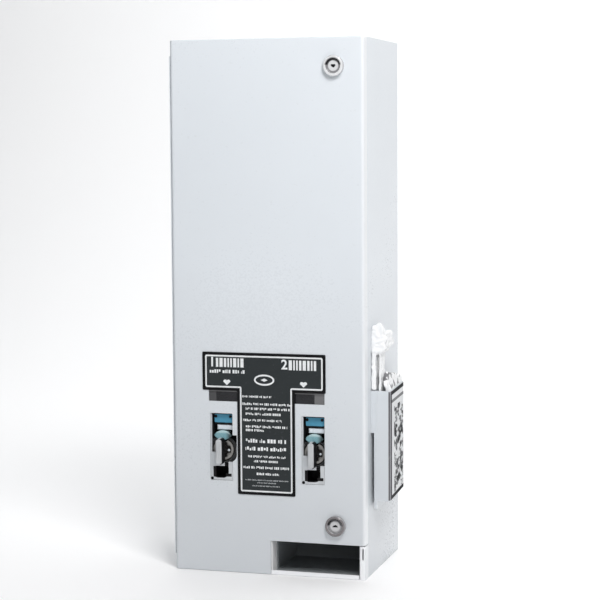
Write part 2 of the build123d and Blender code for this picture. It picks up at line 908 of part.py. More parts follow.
for side, mech_x in (("left", mech_left_x), ("right", mech_right_x)):
    # Mechanism's cast case, with the head above the coin slot and the return cup at the bottom
    with BuildPart() as coin_mech:
        slab(
            front_plane(plate_front_y),
            mech_x - case_width / 2,
            mech_x + case_width / 2,
            case_bottom,
            case_bottom + case_height,
            case_depth,
        )
        fillet(coin_mech.edges().filter_by(Axis.Y), case_round)
        slab(
            front_plane(case_front_y),
            mech_x + price_plate_shift - head_block_width / 2,
            mech_x + price_plate_shift + head_block_width / 2,
            head_block_bottom,
            head_block_top,
            face_depth,
        )
        slab(
            front_plane(case_front_y),
            mech_x - casting_half_width + front_wall,
            mech_x + casting_half_width,
            casting_bottom,
            return_top + return_roof,
            case_front_y - casting_back_y,
        )
        return_opening(casting_front_y + return_depth, mech_x, return_depth)
        slab(
            front_plane(case_front_y + coin_slot_depth),
            mech_x - coin_slot_length / 2,
            mech_x + coin_slot_length / 2,
            slot_bar_top,
            head_block_bottom,
            coin_slot_depth,
            Mode.SUBTRACT,
        )
        slab(
            level_plane(case_bottom),
            mech_x - coin_exit_length / 2,
            mech_x + coin_exit_length / 2,
            coin_exit_y - coin_exit_width / 2,
            coin_exit_y + coin_exit_width / 2,
            coin_exit_depth,
            Mode.SUBTRACT,
        )
        disc(
            front_plane(plate_front_y),
            mech_x,
            knob_z,
            shaft_radius + shaft_fit,
            case_depth,
            Mode.SUBTRACT,
        )
    write(coin_mech.part, f"coin_mech_{side}")

    # Light casting in front of the case: plate with a wing over the wheel, side wall and open ring
    with BuildPart() as mech_front:
        front_left = mech_x - casting_half_width
        with BuildSketch(front_plane(casting_back_y)):
            span(front_left, mech_x + casting_half_width, casting_bottom, front_shoulder_top)
            span(front_left, mech_x + front_wing_right, casting_bottom, front_wing_top)
            span(
                mech_x + front_wing_right,
                mech_x + front_shoulder_left,
                return_top - return_round,
                front_wing_top,
                Mode.SUBTRACT,
            )
            with Locations((mech_x, knob_z)):
                Circle(wheel_hub_radius + front_hub_gap, mode=Mode.SUBTRACT)
        extrude(amount=front_sheet)
        return_opening(casting_back_y, mech_x, front_sheet)
        slab(
            front_plane(case_front_y),
            front_left,
            front_left + front_wall,
            casting_bottom,
            mech_cut_bottom + mech_cut_height - front_bottom_gap,
            case_front_y - casting_front_y,
        )
        with BuildSketch(front_plane(case_front_y)):
            with Locations((mech_x, knob_z)):
                Circle(ring_radius)
            span(mech_x - ring_radius, front_left, knob_z - ring_radius, ring_top, Mode.SUBTRACT)
            span(front_left, mech_x + ring_radius, ring_top, knob_z + ring_radius, Mode.SUBTRACT)
            span(mech_x - ring_radius, front_left, ring_top, knob_z + ring_radius, Mode.SUBTRACT)
        extrude(amount=ring_depth)
        disc(
            front_plane(case_front_y),
            mech_x,
            knob_z,
            wheel_radius + ring_clearance,
            ring_depth,
            Mode.SUBTRACT,
        )
    write(mech_front.part, f"mech_front_{side}")

    # Bar under the coin slot
    with BuildPart() as slot_bar:
        slab(
            front_plane(case_front_y),
            mech_x - slot_bar_left,
            mech_x + slot_bar_right,
            slot_bar_top - slot_bar_height,
            slot_bar_top,
            face_depth,
        )
        chamfer(slot_bar.faces().sort_by(Axis.Y)[0].edges(), slot_bar_chamfer)
    write(slot_bar.part, f"slot_bar_{side}")

    # Coloured plate above the coin slot
    with BuildPart() as price_plate:
        with BuildSketch(front_plane(face_y)):
            with Locations((mech_x + price_plate_shift, price_plate_bottom + price_plate_height / 2)):
                RectangleRounded(price_plate_width, price_plate_height, price_plate_sheet)
        extrude(amount=price_plate_sheet)
    write(price_plate.part, f"price_plate_{side}")

    # Lens-shaped coin guide in front of the wheel's upper edge
    guide_back_y = wheel_front_y - guide_wheel_gap
    with BuildPart() as coin_guide:
        with BuildSketch(front_plane(guide_back_y)):
            with BuildLine():
                guide_left = (mech_x - guide_half_width, guide_middle_z)
                guide_right = (mech_x + guide_half_width, guide_middle_z)
                ThreePointArc(guide_left, (mech_x, guide_middle_z + guide_rise), guide_right)
                ThreePointArc(guide_right, (mech_x, guide_middle_z - guide_fall), guide_left)
            make_face()
        extrude(amount=guide_thickness)
        chamfer(coin_guide.faces().sort_by(Axis.Y)[0].edges(), guide_chamfer)
        slab(
            front_plane(case_front_y),
            mech_x - guide_stem_width / 2,
            mech_x + guide_stem_width / 2,
            guide_stem_bottom,
            guide_stem_bottom + guide_stem_height,
            case_front_y - guide_back_y,
        )
    write(coin_guide.part, f"coin_guide_{side}")

    # Knob: shaft, wheel, grip and pinion turn together
    with BuildPart() as knob_shaft:
        turned(
            mech_x,
            knob_z,
            [
                (0, pinion_back_y + shaft_rear_stand),
                (shaft_radius, pinion_back_y + shaft_rear_stand),
                (shaft_radius, grip_back_y),
                (shaft_in_grip_radius, grip_back_y),
                (shaft_in_grip_radius, grip_back_y - shaft_in_grip),
                (0, grip_back_y - shaft_in_grip),
            ],
        )
    write(knob_shaft.part, f"knob_shaft_{side}")

    with BuildPart() as coin_wheel:
        with BuildSketch(front_plane(wheel_back_y)):
            with Locations((mech_x, knob_z)):
                Circle(wheel_radius)
            with Locations((mech_x, knob_z + wheel_radius)):
                Circle(wheel_coin_notch, mode=Mode.SUBTRACT)
        extrude(amount=wheel_thickness)
        rim = coin_wheel.faces().sort_by(Axis.Y)[0].edges().sort_by(SortBy.RADIUS)[-1]
        chamfer(rim, wheel_chamfer)
        with BuildSketch(front_plane(wheel_front_y)):
            with Locations((mech_x, knob_z)):
                with PolarLocations(wheel_screw_circle, 3, start_angle=-30):
                    Circle(wheel_screw_radius)
        extrude(amount=-wheel_screw_height, mode=Mode.SUBTRACT)
        disc(
            front_plane(wheel_front_y),
            mech_x,
            knob_z,
            wheel_hub_radius,
            wheel_front_y - grip_back_y,
        )
        disc(
            front_plane(wheel_back_y),
            mech_x,
            knob_z,
            shaft_radius + press_clearance,
            wheel_back_y - grip_back_y,
            Mode.SUBTRACT,
        )
    write(coin_wheel.part, f"coin_wheel_{side}")

    with BuildPart() as knob_grip:
        with BuildSketch(front_plane(grip_back_y)):
            with Locations((mech_x, knob_z)):
                RectangleRounded(grip_width, grip_height, grip_round)
        with BuildSketch(front_plane(grip_front_y)):
            with Locations((mech_x, knob_z)):
                RectangleRounded(
                    grip_width - grip_taper, grip_height - grip_taper, grip_round - grip_taper / 2
                )
        loft()
        chamfer(knob_grip.faces().sort_by(Axis.Y)[0].edges(), grip_edge_chamfer)
        with BuildSketch(front_plane(grip_front_y + grip_groove_depth)):
            with Locations((mech_x, knob_z)):
                with GridLocations(grip_groove_pitch, 1, grip_grooves, 1):
                    Rectangle(grip_groove_width, grip_height)
        extrude(amount=2 * grip_groove_depth, mode=Mode.SUBTRACT)
        disc(
            front_plane(grip_back_y),
            mech_x,
            knob_z,
            shaft_in_grip_radius + press_clearance,
            shaft_in_grip,
            Mode.SUBTRACT,
        )
    write(knob_grip.part, f"knob_grip_{side}")

    with BuildPart() as drive_pinion:
        with BuildSketch(front_plane(pinion_back_y)):
            with BuildLine():
                rim_points = gear_points(pinion_teeth, gear_module, gear_backlash)
                Polyline(*[(mech_x + x, knob_z + y) for x, y in rim_points], close=True)
            make_face()
            with Locations((mech_x, knob_z)):
                Circle(shaft_radius + press_clearance, mode=Mode.SUBTRACT)
        extrude(amount=pinion_width)
    write(drive_pinion.part, f"drive_pinion_{side}")

    # Product column, open at the front, with a ledge under its left edge
    magazine_left = mech_x - magazine_width / 2
    magazine_right = mech_x + magazine_width / 2
    with BuildPart() as magazine:
        folded_sheet(
            level_plane(magazine_bottom),
            [
                (magazine_left + magazine_lip, magazine_front_y),
                (magazine_left, magazine_front_y),
                (magazine_left, inner_back_y),
                (magazine_right, inner_back_y),
                (magazine_right, magazine_front_y),
                (magazine_right - magazine_lip, magazine_front_y),
            ],
            magazine_sheet,
            magazine_top - magazine_bottom,
            Side.RIGHT,
        )
        slab(
            level_plane(magazine_bottom),
            magazine_left,
            magazine_left + ledge_width,
            magazine_front_y,
            inner_back_y,
            magazine_sheet,
        )
    write(magazine.part, f"magazine_{side}")

    # Follower weight that rides down on the product
    with BuildPart() as follower_weight:
        weight_inset = magazine_sheet + weight_side_clearance
        with BuildSketch(level_plane(magazine_bottom + magazine_sheet + weight_stand)) as weight_plan:
            span(
                magazine_left + weight_inset,
                magazine_right - weight_inset,
                magazine_front_y + magazine_sheet + weight_end_clearance,
                inner_back_y - magazine_sheet - weight_end_clearance,
            )
            fillet(weight_plan.vertices(), weight_round)
            with Locations((mech_x, (magazine_front_y + inner_back_y) / 2)):
                Circle(weight_finger_radius, mode=Mode.SUBTRACT)
        extrude(amount=weight_height)
    write(follower_weight.part, f"follower_weight_{side}")

    # Vend slide: a rack over the pinion, two slots on the studs and the ledge that draws out
    with BuildPart() as vend_slide:
        with BuildSketch(front_plane(slide_back_y)):
            rack_left = mech_x - slide_travel - rack_tooth_margin
            rack_right = mech_x + rack_tooth_margin
            with BuildLine():
                teeth = rack_points(rack_left, rack_right, mech_x)
                Polyline(
                    (mech_x - slide_left_reach, rack_root_z),
                    *teeth,
                    (magazine_right, rack_root_z),
                    (magazine_right, slide_ledge_top),
                    (magazine_right - ledge_width, slide_ledge_top),
                    (magazine_right - ledge_width, slide_ledge_top - slide_top_drop),
                    (mech_x - slide_left_reach, slide_ledge_top - slide_top_drop),
                    close=True,
                )
            make_face()
            slot_left = mech_x + stud_offset - slide_travel
            slot_half = stud_radius + stud_slot_fit
            for stud_z in stud_rows:
                with Locations((slot_left + slide_travel / 2, stud_z)):
                    SlotCenterToCenter(slide_travel, 2 * slot_half, mode=Mode.SUBTRACT)
        extrude(amount=slide_plate)
        slab(
            level_plane(slide_ledge_top - slide_ledge_sheet),
            magazine_right - ledge_width,
            magazine_right,
            slide_front_y,
            slide_ledge_back_y,
            slide_ledge_sheet,
        )
    write(vend_slide.part, f"vend_slide_{side}")

# Screws of both price plates and both light castings
with BuildPart() as price_screws:
    for mech_x in (mech_left_x, mech_right_x):
        for y, x, z in (
            (
                face_y - price_plate_sheet,
                mech_x + price_plate_shift - price_plate_width / 2 + price_screw_inset,
                price_plate_bottom + price_plate_height - price_screw_inset,
            ),
            (
                face_y - price_plate_sheet,
                mech_x + price_plate_shift + price_plate_width / 2 - price_screw_inset,
                price_plate_bottom + price_plate_height - price_screw_inset,
            ),
            (
                casting_front_y,
                mech_x - casting_half_width + front_screw_inset,
                casting_bottom + front_screw_inset,
            ),
        ):
            disc(front_plane(y), x, z, price_screw_radius, price_screw_height)
write(price_screws.part, "price_screws")

# Chute that leads the left column's product across to the tray
tray_left = notch_edge + cabinet_sheet + tray_side_gap
tray_right = strip_left - tray_side_gap
with BuildPart() as delivery_chute:
    folded_sheet(
        front_plane(tray_back_y),
        [(-inner_x + mech_plate_sheet, chute_left_z), (tray_left + tray_sheet, tray_wall_top)],
        chute_sheet,
        tray_back_y - plate_back_y,
        Side.LEFT,
    )
write(delivery_chute.part, "delivery_chute")

# Tray that the product lies in, with a ramp behind its level floor
with BuildPart() as delivery_tray:
    folded_sheet(
        side_plane(tray_left),
        [
            (front_y + lip_bend + tray_side_gap, cabinet_sheet),
            (tray_floor_end_y, cabinet_sheet),
            (tray_back_y, tray_back_z),
        ],
        tray_sheet,
        tray_right - tray_left,
        Side.LEFT,
    )
    slab(
        side_plane(tray_left),
        front_y + jamb_depth,
        tray_back_y,
        cabinet_sheet,
        tray_wall_top,
        tray_sheet,
    )
    slab(
        side_plane(tray_right - tray_sheet),
        front_y + jamb_depth,
        tray_back_y,
        cabinet_sheet,
        tray_wall_top,
        tray_sheet,
    )
write(delivery_tray.part, "delivery_tray")

# Coin box, open at the top, with a finger hole in front
with BuildPart() as coin_box:
    slab(level_plane(cabinet_sheet), box_left, box_right, box_front_y, box_back_y, box_height)
    offset(amount=-box_sheet, openings=coin_box.faces().sort_by(Axis.Z)[-1])
    disc(
        front_plane(box_front_y + box_sheet),
        (box_left + box_right) / 2,
        box_finger_z,
        box_finger_radius,
        2 * box_sheet,
        Mode.SUBTRACT,
    )
write(coin_box.part, "coin_box")

# Trough under the right mechanism
with BuildPart() as coin_trough:
    folded_sheet(
        front_plane(plate_front_y),
        [(trough_left_x, trough_left_z), (trough_right_x, trough_right_z)],
        trough_sheet,
        trough_width,
        Side.LEFT,
    )
    for wall_y in (plate_front_y, plate_front_y - trough_width + trough_sheet):
        outline(
            front_plane(wall_y),
            [
                (trough_left_x, trough_left_z),
                (trough_right_x, trough_right_z),
                (trough_right_x, trough_right_z + trough_wall),
                (trough_left_x, trough_left_z + trough_wall),
            ],
            trough_sheet,
        )
write(coin_trough.part, "coin_trough")

# Bag holder: a back plate that stands off the cabinet's side, with hems, webs and feet
with BuildPart() as holder_bracket:
    plate_x = side_x + holder_stand_off
    slab(side_plane(plate_x), holder_front_y, holder_back_y, bracket_bottom, holder_top, holder_sheet)
    for web_y in (holder_front_y, holder_back_y - holder_sheet):
        slab(
            side_plane(plate_x - bracket_hem),
            web_y,
            web_y + holder_sheet,
            bracket_bottom,
            bracket_step_z,
            bracket_hem,
        )
        slab(
            side_plane(side_x),
            web_y,
            web_y + holder_sheet,
            bracket_step_z,
            holder_top,
            holder_stand_off,
        )
    for foot_y in (holder_front_y + holder_sheet, holder_back_y - holder_sheet - foot_length):
        slab(
            side_plane(side_x),
            foot_y,
            foot_y + foot_length,
            foot_bottom,
            foot_bottom + foot_height,
            holder_sheet,
        )
    with BuildSketch(side_plane(side_x)):
        with Locations(((holder_front_y + holder_back_y) / 2, foot_bottom + foot_height / 2)):
            with GridLocations(
                holder_length - 2 * holder_sheet - foot_length,
                foot_height - 2 * holder_screw_rise,
                2,
                2,
            ):
                Circle(holder_screw_radius + press_clearance)
    extrude(amount=holder_sheet, mode=Mode.SUBTRACT)
write(holder_bracket.part, "holder_bracket")

with BuildPart() as holder_screws:
    screw_spacing = holder_length - 2 * holder_sheet - foot_length
    for radius, start_x, length in (
        (holder_screw_radius, side_x + holder_sheet - holder_screw_length, holder_screw_length),
        (holder_screw_head, side_x + holder_sheet, holder_screw_head_height),
    ):
        with BuildSketch(side_plane(start_x)):
            with Locations(((holder_front_y + holder_back_y) / 2, foot_bottom + foot_height / 2)):
                with GridLocations(screw_spacing, foot_height - 2 * holder_screw_rise, 2, 2):
                    Circle(radius)
        extrude(amount=length)
write(holder_screws.part, "holder_screws")

with BuildPart() as bag_holder:
    folded_sheet(
        level_plane(holder_bottom),
        [
            (pocket_x, holder_front_y),
            (pocket_front_x, holder_front_y),
            (pocket_back_x, holder_back_y),
            (pocket_x, holder_back_y),
        ],
        holder_sheet,
        holder_top - holder_bottom,
        Side.LEFT,
        holder_bend,
    )
    outline(
        level_plane(holder_bottom),
        [
            (pocket_x, holder_front_y + holder_sheet / 2),
            (pocket_front_x - holder_sheet, holder_front_y + holder_sheet / 2),
            (pocket_back_x - holder_sheet, holder_back_y - holder_sheet / 2),
            (pocket_x, holder_back_y - holder_sheet / 2),
        ],
        holder_sheet,
    )
write(bag_holder.part, "bag_holder")

with BuildPart() as holder_label:
    slab(
        label_face,
        2 * holder_bend,
        label_face_length - 2 * holder_bend,
        holder_bottom + label_margin,
        holder_top - label_margin,
        label_sheet,
    )
write(holder_label.part, "holder_label")

# Disposal bags: a bundle in the pocket and a bundle folded over the bracket's plate
bag_floor = holder_bottom + holder_sheet + bag_gap
with BuildPart() as bag_bundle_outer:
    bag_end = 2 * holder_bend
    outline(
        label_face.offset(-holder_sheet - bag_gap - bag_outer_thickness),
        [
            (bag_end, bag_floor),
            (label_face_length - bag_end, bag_floor),
            (label_face_length - bag_end, holder_top + bag_outer_rise),
            (bag_outer_peak_place, holder_top + bag_outer_peak_rise),
            (bag_end, holder_top + bag_outer_rise),
        ],
        bag_outer_thickness,
    )
write(bag_bundle_outer.part, "bag_bundle_outer")

with BuildPart() as bag_bundle_inner:
    fold_left = side_x + bag_gap
    saddle_left = side_x + holder_stand_off - bag_gap
    saddle_right = pocket_x + bag_inner_saddle
    fold_right = saddle_right + bag_inner_leg
    fold_front_y = holder_front_y + holder_sheet + bag_gap
    with BuildSketch(front_plane(fold_front_y + bag_inner_length)) as fold:
        span(fold_left, fold_right, bag_floor, holder_top + bag_inner_rise)
        fillet(fold.vertices().group_by(Axis.Y)[-1], bag_inner_shoulder)
        span(fold_left, saddle_right, bag_floor, holder_top + bag_gap, Mode.SUBTRACT)
        span(saddle_left, saddle_right, holder_top, holder_top + bag_inner_saddle_rise, Mode.SUBTRACT)
    extrude(amount=bag_inner_length)
write(bag_bundle_inner.part, "bag_bundle_inner")
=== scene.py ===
"""Finishes and small pieces of a wall vending machine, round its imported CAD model.

Every length is in metres, in the frame of the model: X to the right, Y to the wall and Z up.
"""

import json
import logging
import math
import random
from dataclasses import dataclass, replace
from enum import Enum
from typing import Any, Callable, Iterable, Sequence

import bmesh
import bpy
from bpy.types import Material, Mesh, Node, NodeSocket, NodeTree, Object
from mathutils import Matrix, Vector, geometry, noise


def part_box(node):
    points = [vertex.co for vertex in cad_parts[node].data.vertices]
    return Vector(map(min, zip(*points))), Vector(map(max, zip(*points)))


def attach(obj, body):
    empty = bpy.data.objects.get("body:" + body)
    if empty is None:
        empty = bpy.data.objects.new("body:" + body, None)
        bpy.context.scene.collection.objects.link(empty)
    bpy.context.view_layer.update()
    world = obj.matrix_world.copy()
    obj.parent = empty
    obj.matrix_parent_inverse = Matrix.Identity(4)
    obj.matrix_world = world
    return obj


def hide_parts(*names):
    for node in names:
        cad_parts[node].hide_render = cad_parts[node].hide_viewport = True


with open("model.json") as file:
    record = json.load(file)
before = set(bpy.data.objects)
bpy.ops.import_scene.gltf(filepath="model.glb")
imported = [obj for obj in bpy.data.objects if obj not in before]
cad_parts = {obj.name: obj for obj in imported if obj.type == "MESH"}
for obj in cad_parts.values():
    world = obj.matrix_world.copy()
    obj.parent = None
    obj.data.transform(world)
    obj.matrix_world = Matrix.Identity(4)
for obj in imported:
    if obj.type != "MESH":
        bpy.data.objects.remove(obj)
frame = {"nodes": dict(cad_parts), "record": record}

MM = 0.001
SIDES = ("left", "right")
Color = tuple[float, float, float]
Point = tuple[float, float, float]
Spot = tuple[float, float]
Range = tuple[float | None, float | None]
log = logging.getLogger("vending_machine")

# Angles in degrees under which bent skins and cast pieces are shaded smooth
SOFT_ANGLE = 60
CRISP_ANGLE = 30


class Facing(Enum):
    """Way that a small piece faces, as the turn that brings its +Z there."""

    CUSTOMER = (math.pi / 2, 0.0, 0.0)
    LEFT = (0.0, -math.pi / 2, 0.0)
    RIGHT = (0.0, math.pi / 2, 0.0)


def share_of(value: float) -> float:
    """Keeps a share between 0 and 1."""
    return min(1.0, max(0.0, value))


def center_of(node: str) -> Spot:
    """Gives X and Z of the middle of a CAD node's box."""
    low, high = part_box(node)
    return (low.x + high.x) / 2, (low.z + high.z) / 2


class Nodes:
    """Adds nodes to a tree and links them."""

    def __init__(self, tree: NodeTree) -> None:
        """Takes the tree to fill."""
        self.tree = tree

    def add(self, kind: str, inputs: dict[Any, Any] | None = None, **settings: Any) -> Node:
        """Adds a node.

        Args:
            kind: Blender's name of the node.
            inputs: values or sockets for the node's inputs, by name or number.
            **settings: properties of the node.

        Returns:
            The new node.
        """
        node = self.tree.nodes.new(kind)
        for key, value in settings.items():
            setattr(node, key, value)
        for key, value in (inputs or {}).items():
            if isinstance(value, NodeSocket):
                self.tree.links.new(value, node.inputs[key])
            else:
                node.inputs[key].default_value = value
        return node

    def math(self, operation: str, *values: Any, clamp: bool = False) -> NodeSocket:
        """Does a sum with numbers or sockets, and keeps it between 0 and 1 where it is clamped."""
        inputs = dict(enumerate(values))
        return self.add("ShaderNodeMath", inputs, operation=operation, use_clamp=clamp).outputs[0]

    def mix(self, share: Any, first: Any, second: Any) -> NodeSocket:
        """Mixes a share of the second colour into the first. Each may be a socket."""
        first, second = ((*color, 1.0) if isinstance(color, tuple) else color for color in (first, second))
        return self.add("ShaderNodeMix", {0: share, 6: first, 7: second}, data_type="RGBA").outputs[2]

    def noise(self, place: NodeSocket, scale: float, detail: float) -> NodeSocket:
        """Gives the level of a noise of a scale and a number of octaves."""
        return self.add("ShaderNodeTexNoise", {"Vector": place, "Scale": scale, "Detail": detail}).outputs[0]

    def scaled(self, place: NodeSocket, scale: Point) -> NodeSocket:
        """Scales a place along each axis."""
        return self.add("ShaderNodeMapping", {"Vector": place, "Scale": scale}).outputs[0]

    def axes(self, place: NodeSocket) -> Sequence[NodeSocket]:
        """Gives the three numbers of a place."""
        return self.add("ShaderNodeSeparateXYZ", {0: place}).outputs

    def remap(self, value: Any, low: float, high: float, start: float = 0.0, end: float = 1.0) -> NodeSocket:
        """Maps the range from low to high to the one from start to end, and clamps the value to it."""
        inputs = {0: value, 1: low, 2: high, 3: start, 4: end}
        return self.add("ShaderNodeMapRange", inputs).outputs[0]

    def between(self, value: Any, low: float, high: float, soft: float) -> NodeSocket:
        """Gives 1 inside a range and 0 outside it, with soft limits."""
        rise = self.remap(value, low - soft, low + soft)
        fall = self.remap(value, high - soft, high + soft, 1.0, 0.0)
        return self.math("MULTIPLY", rise, fall)


@dataclass(frozen=True)
class Patch:
    """A soft-edged box of another colour on a finish. None leaves a side open."""

    color: Color
    x: Range = (None, None)
    y: Range = (None, None)
    z: Range = (None, None)
    soft: float = 0.2 * MM
    share: float = 1.0

    def mask(self, nodes: Nodes, axes: Sequence[NodeSocket]) -> Any:
        """Builds the share of the patch's colour at a place.

        Args:
            nodes: the material's nodes.
            axes: sockets of the place's three numbers.

        Returns:
            The socket or number of the share.
        """
        share: Any = self.share
        for axis, limits in zip(axes, (self.x, self.y, self.z)):
            for limit, start in zip(limits, (0.0, 1.0)):
                if limit is not None:
                    inside = nodes.remap(axis, limit - self.soft, limit + self.soft, start, 1.0 - start)
                    share = nodes.math("MULTIPLY", share, inside)
        return share


@dataclass(frozen=True)
class Ring(Patch):
    """A patch between two radii round an axis along Y."""

    center: Spot = (0.0, 0.0)
    radii: Spot = (0.0, 1.0)

    def mask(self, nodes: Nodes, axes: Sequence[NodeSocket]) -> Any:
        """Builds the share of the ring's colour at a place."""
        squares = []
        for axis, middle in ((axes[0], self.center[0]), (axes[2], self.center[1])):
            away = nodes.math("SUBTRACT", axis, middle)
            squares.append(nodes.math("MULTIPLY", away, away))
        radius = nodes.math("SQRT", nodes.math("ADD", *squares))
        ring = nodes.between(radius, *self.radii, self.soft)
        return nodes.math("MULTIPLY", ring, super().mask(nodes, axes))


@dataclass(frozen=True)
class Finish:
    """A finish whose colour, gloss, grain and edges vary over the surface; its edge colour is partly wear
    and partly a painted highlight.

    Clouds are the broad pattern between the light and the dark colour, and grain is the fine one
    of the gloss and the relief. Their numbers are scales, and more is finer.
    """

    name: str
    light: Color
    dark: Color
    gloss: Spot = (0.35, 0.5)
    metallic: float = 0.0
    coat: float = 0.0
    clouds: float = 7.0
    grain: float = 600.0
    stretch: Point = (1.0, 1.0, 1.0)
    bump: float = 0.08
    relief: float = 0.2 * MM
    # colour of the edges, partly wear and partly a painted highlight
    edge_wear_and_highlight: Color | None = None
    edge_width: float = 0.5 * MM
    edge_share: float = 0.6
    speck_color: Color | None = None
    speck_share: float = 0.0
    speck_scale: float = 230.0
    speck_levels: Spot = (0.64, 0.74)
    spangle: float = 0.0
    spangle_scale: float = 110.0
    transmission: float = 0.0
    ior: float = 1.5
    specular: float = 0.5
    patches: tuple[Patch, ...] = ()
    # Each span is the levels of a noise, or of how far two normals agree, and what they are mapped to
    NOISE_SPAN = (0.3, 0.7)
    SMEAR_SPAN = (0.35, 0.75, -0.05, 0.07)
    EDGE_SPAN = (0.99, 0.86)
    BROKEN_SPAN = (0.35, 0.6, 0.45, 1.0)
    CLOUD_OCTAVES = 5.0
    GRAIN_OCTAVES = 3.0
    SPECK_OCTAVES = 4.0
    EDGE_SAMPLES = 6
    COAT_ROUGHNESS = 0.12

    def pattern(self, nodes: Nodes, place: NodeSocket, color: Any) -> Any:
        """Adds a print to the colour. This finish has none.

        Args:
            nodes: the material's nodes.
            place: socket of the place on the piece.
            color: socket of the colour so far.

        Returns:
            The socket of the printed colour.
        """
        return color

    def material(self) -> Material:
        """Builds the finish once, and gives it again when it is asked for again."""
        name = f"{self.name}_finish"
        if name in bpy.data.materials:
            return bpy.data.materials[name]
        made = bpy.data.materials.new(name)
        made.use_nodes = True
        made.node_tree.nodes.clear()
        nodes = Nodes(made.node_tree)
        place = nodes.add("ShaderNodeTexCoord").outputs["Object"]
        stretched = nodes.scaled(place, self.stretch)
        clouds = nodes.noise(stretched, self.clouds, self.CLOUD_OCTAVES)
        grain = nodes.noise(stretched, self.grain, self.GRAIN_OCTAVES)
        bevel = nodes.add("ShaderNodeBevel", {"Radius": self.edge_width}, samples=self.EDGE_SAMPLES)
        rounded = bevel.outputs[0]
        color = nodes.mix(nodes.remap(clouds, *self.NOISE_SPAN), self.light, self.dark)
        color = self.wear_and_highlight_edges(nodes, clouds, rounded, self.marked(nodes, place, color))
        gloss = nodes.remap(grain, *self.NOISE_SPAN, *self.gloss)
        smear = nodes.remap(clouds, *self.SMEAR_SPAN)
        relief = {"Strength": self.bump, "Distance": self.relief, "Height": grain, "Normal": rounded}
        inputs = {
            "Base Color": color,
            "Metallic": self.metallic,
            "Roughness": nodes.math("ADD", gloss, smear, clamp=True),
            "Coat Weight": self.coat,
            "Coat Roughness": self.COAT_ROUGHNESS,
            "IOR": self.ior,
            "Specular IOR Level": self.specular,
            "Transmission Weight": self.transmission,
            "Normal": nodes.add("ShaderNodeBump", relief).outputs[0],
        }
        shader = nodes.add("ShaderNodeBsdfPrincipled", inputs)
        nodes.add("ShaderNodeOutputMaterial", {"Surface": shader.outputs[0]})
        return made

    def marked(self, nodes: Nodes, place: NodeSocket, color: Any) -> Any:
        """Adds the spangle, the patches, the print and the specks to the colour."""
        if self.spangle:
            cells = nodes.add("ShaderNodeTexVoronoi", {"Vector": place, "Scale": self.spangle_scale})
            level = nodes.add("ShaderNodeSeparateColor", {0: cells.outputs["Color"]}).outputs[0]
            color = nodes.mix(nodes.math("MULTIPLY", level, self.spangle), color, self.dark)
        axes = nodes.axes(place)
        for patch in self.patches:
            color = nodes.mix(patch.mask(nodes, axes), color, patch.color)
        color = self.pattern(nodes, place, color)
        if self.speck_color:
            flecks = nodes.noise(place, self.speck_scale, self.SPECK_OCTAVES)
            mask = nodes.remap(flecks, *self.speck_levels, 0.0, self.speck_share)
            color = nodes.mix(mask, color, self.speck_color)
        return color

    def wear_and_highlight_edges(self, nodes: Nodes, clouds: Any, rounded: Any, color: Any) -> Any:
        """Adds edges of another colour, partly wear and partly a painted highlight, where the rounded normal
        departs from the flat one.
        """
        if not self.edge_wear_and_highlight:
            return color
        both = {0: rounded, 1: nodes.add("ShaderNodeNewGeometry").outputs["Normal"]}
        agree = nodes.add("ShaderNodeVectorMath", both, operation="DOT_PRODUCT").outputs["Value"]
        edge = nodes.remap(agree, *self.EDGE_SPAN, 0.0, self.edge_share)
        broken = nodes.remap(clouds, *self.BROKEN_SPAN)
        return nodes.mix(nodes.math("MULTIPLY", edge, broken), color, self.edge_wear_and_highlight)


@dataclass(frozen=True)
class LabelCard(Finish):
    """Laminated card with black bands, a grey rule, a dark front edge and a mottled panel."""

    ink: Color = (0.012, 0.012, 0.014)
    grey: Color = (0.20, 0.205, 0.21)
    edge_ink: Color = (0.055, 0.05, 0.06)
    soft: float = 0.2 * MM
    top_band: float = 5.2 * MM
    bottom_band: float = 5.0 * MM
    rule: Spot = (11.5 * MM, 15.5 * MM)
    edge_line: float = 7.0 * MM
    panel_front: float = 24.0 * MM
    panel_back: float = 3.0 * MM
    panel_bottom: float = 6.0 * MM
    panel_top: float = 22.0 * MM
    blot_scale: float = 130.0
    blot_octaves: float = 3.0
    blot_squeeze: Point = (1.0, 0.5, 1.0)
    grey_levels: Spot = (0.475, 0.505)
    ink_levels: Spot = (0.57, 0.585)

    def pattern(self, nodes: Nodes, place: NodeSocket, color: Any) -> Any:
        """Prints the mottled panel, the bands, the rule and the front edge."""
        low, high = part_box("holder_label")
        _, along, up = nodes.axes(place)
        blots = nodes.noise(nodes.scaled(place, self.blot_squeeze), self.blot_scale, self.blot_octaves)
        panel = nodes.math(
            "MULTIPLY",
            nodes.between(along, low.y + self.panel_front, high.y - self.panel_back, self.soft),
            nodes.between(up, low.z + self.panel_bottom, high.z - self.panel_top, self.soft),
        )
        for levels, ink in ((self.grey_levels, self.grey), (self.ink_levels, self.ink)):
            color = nodes.mix(nodes.math("MULTIPLY", panel, nodes.remap(blots, *levels)), color, ink)
        bands = (
            (low.z, low.z + self.bottom_band, self.ink),
            (high.z - self.top_band, high.z, self.ink),
            (high.z - self.rule[1], high.z - self.rule[0], self.grey),
        )
        for start, end, ink in bands:
            color = nodes.mix(nodes.between(up, start, end, self.soft), color, ink)
        line = low.y + self.edge_line
        return nodes.mix(nodes.remap(along, line, line + self.soft, 1.0, 0.0), color, self.edge_ink)


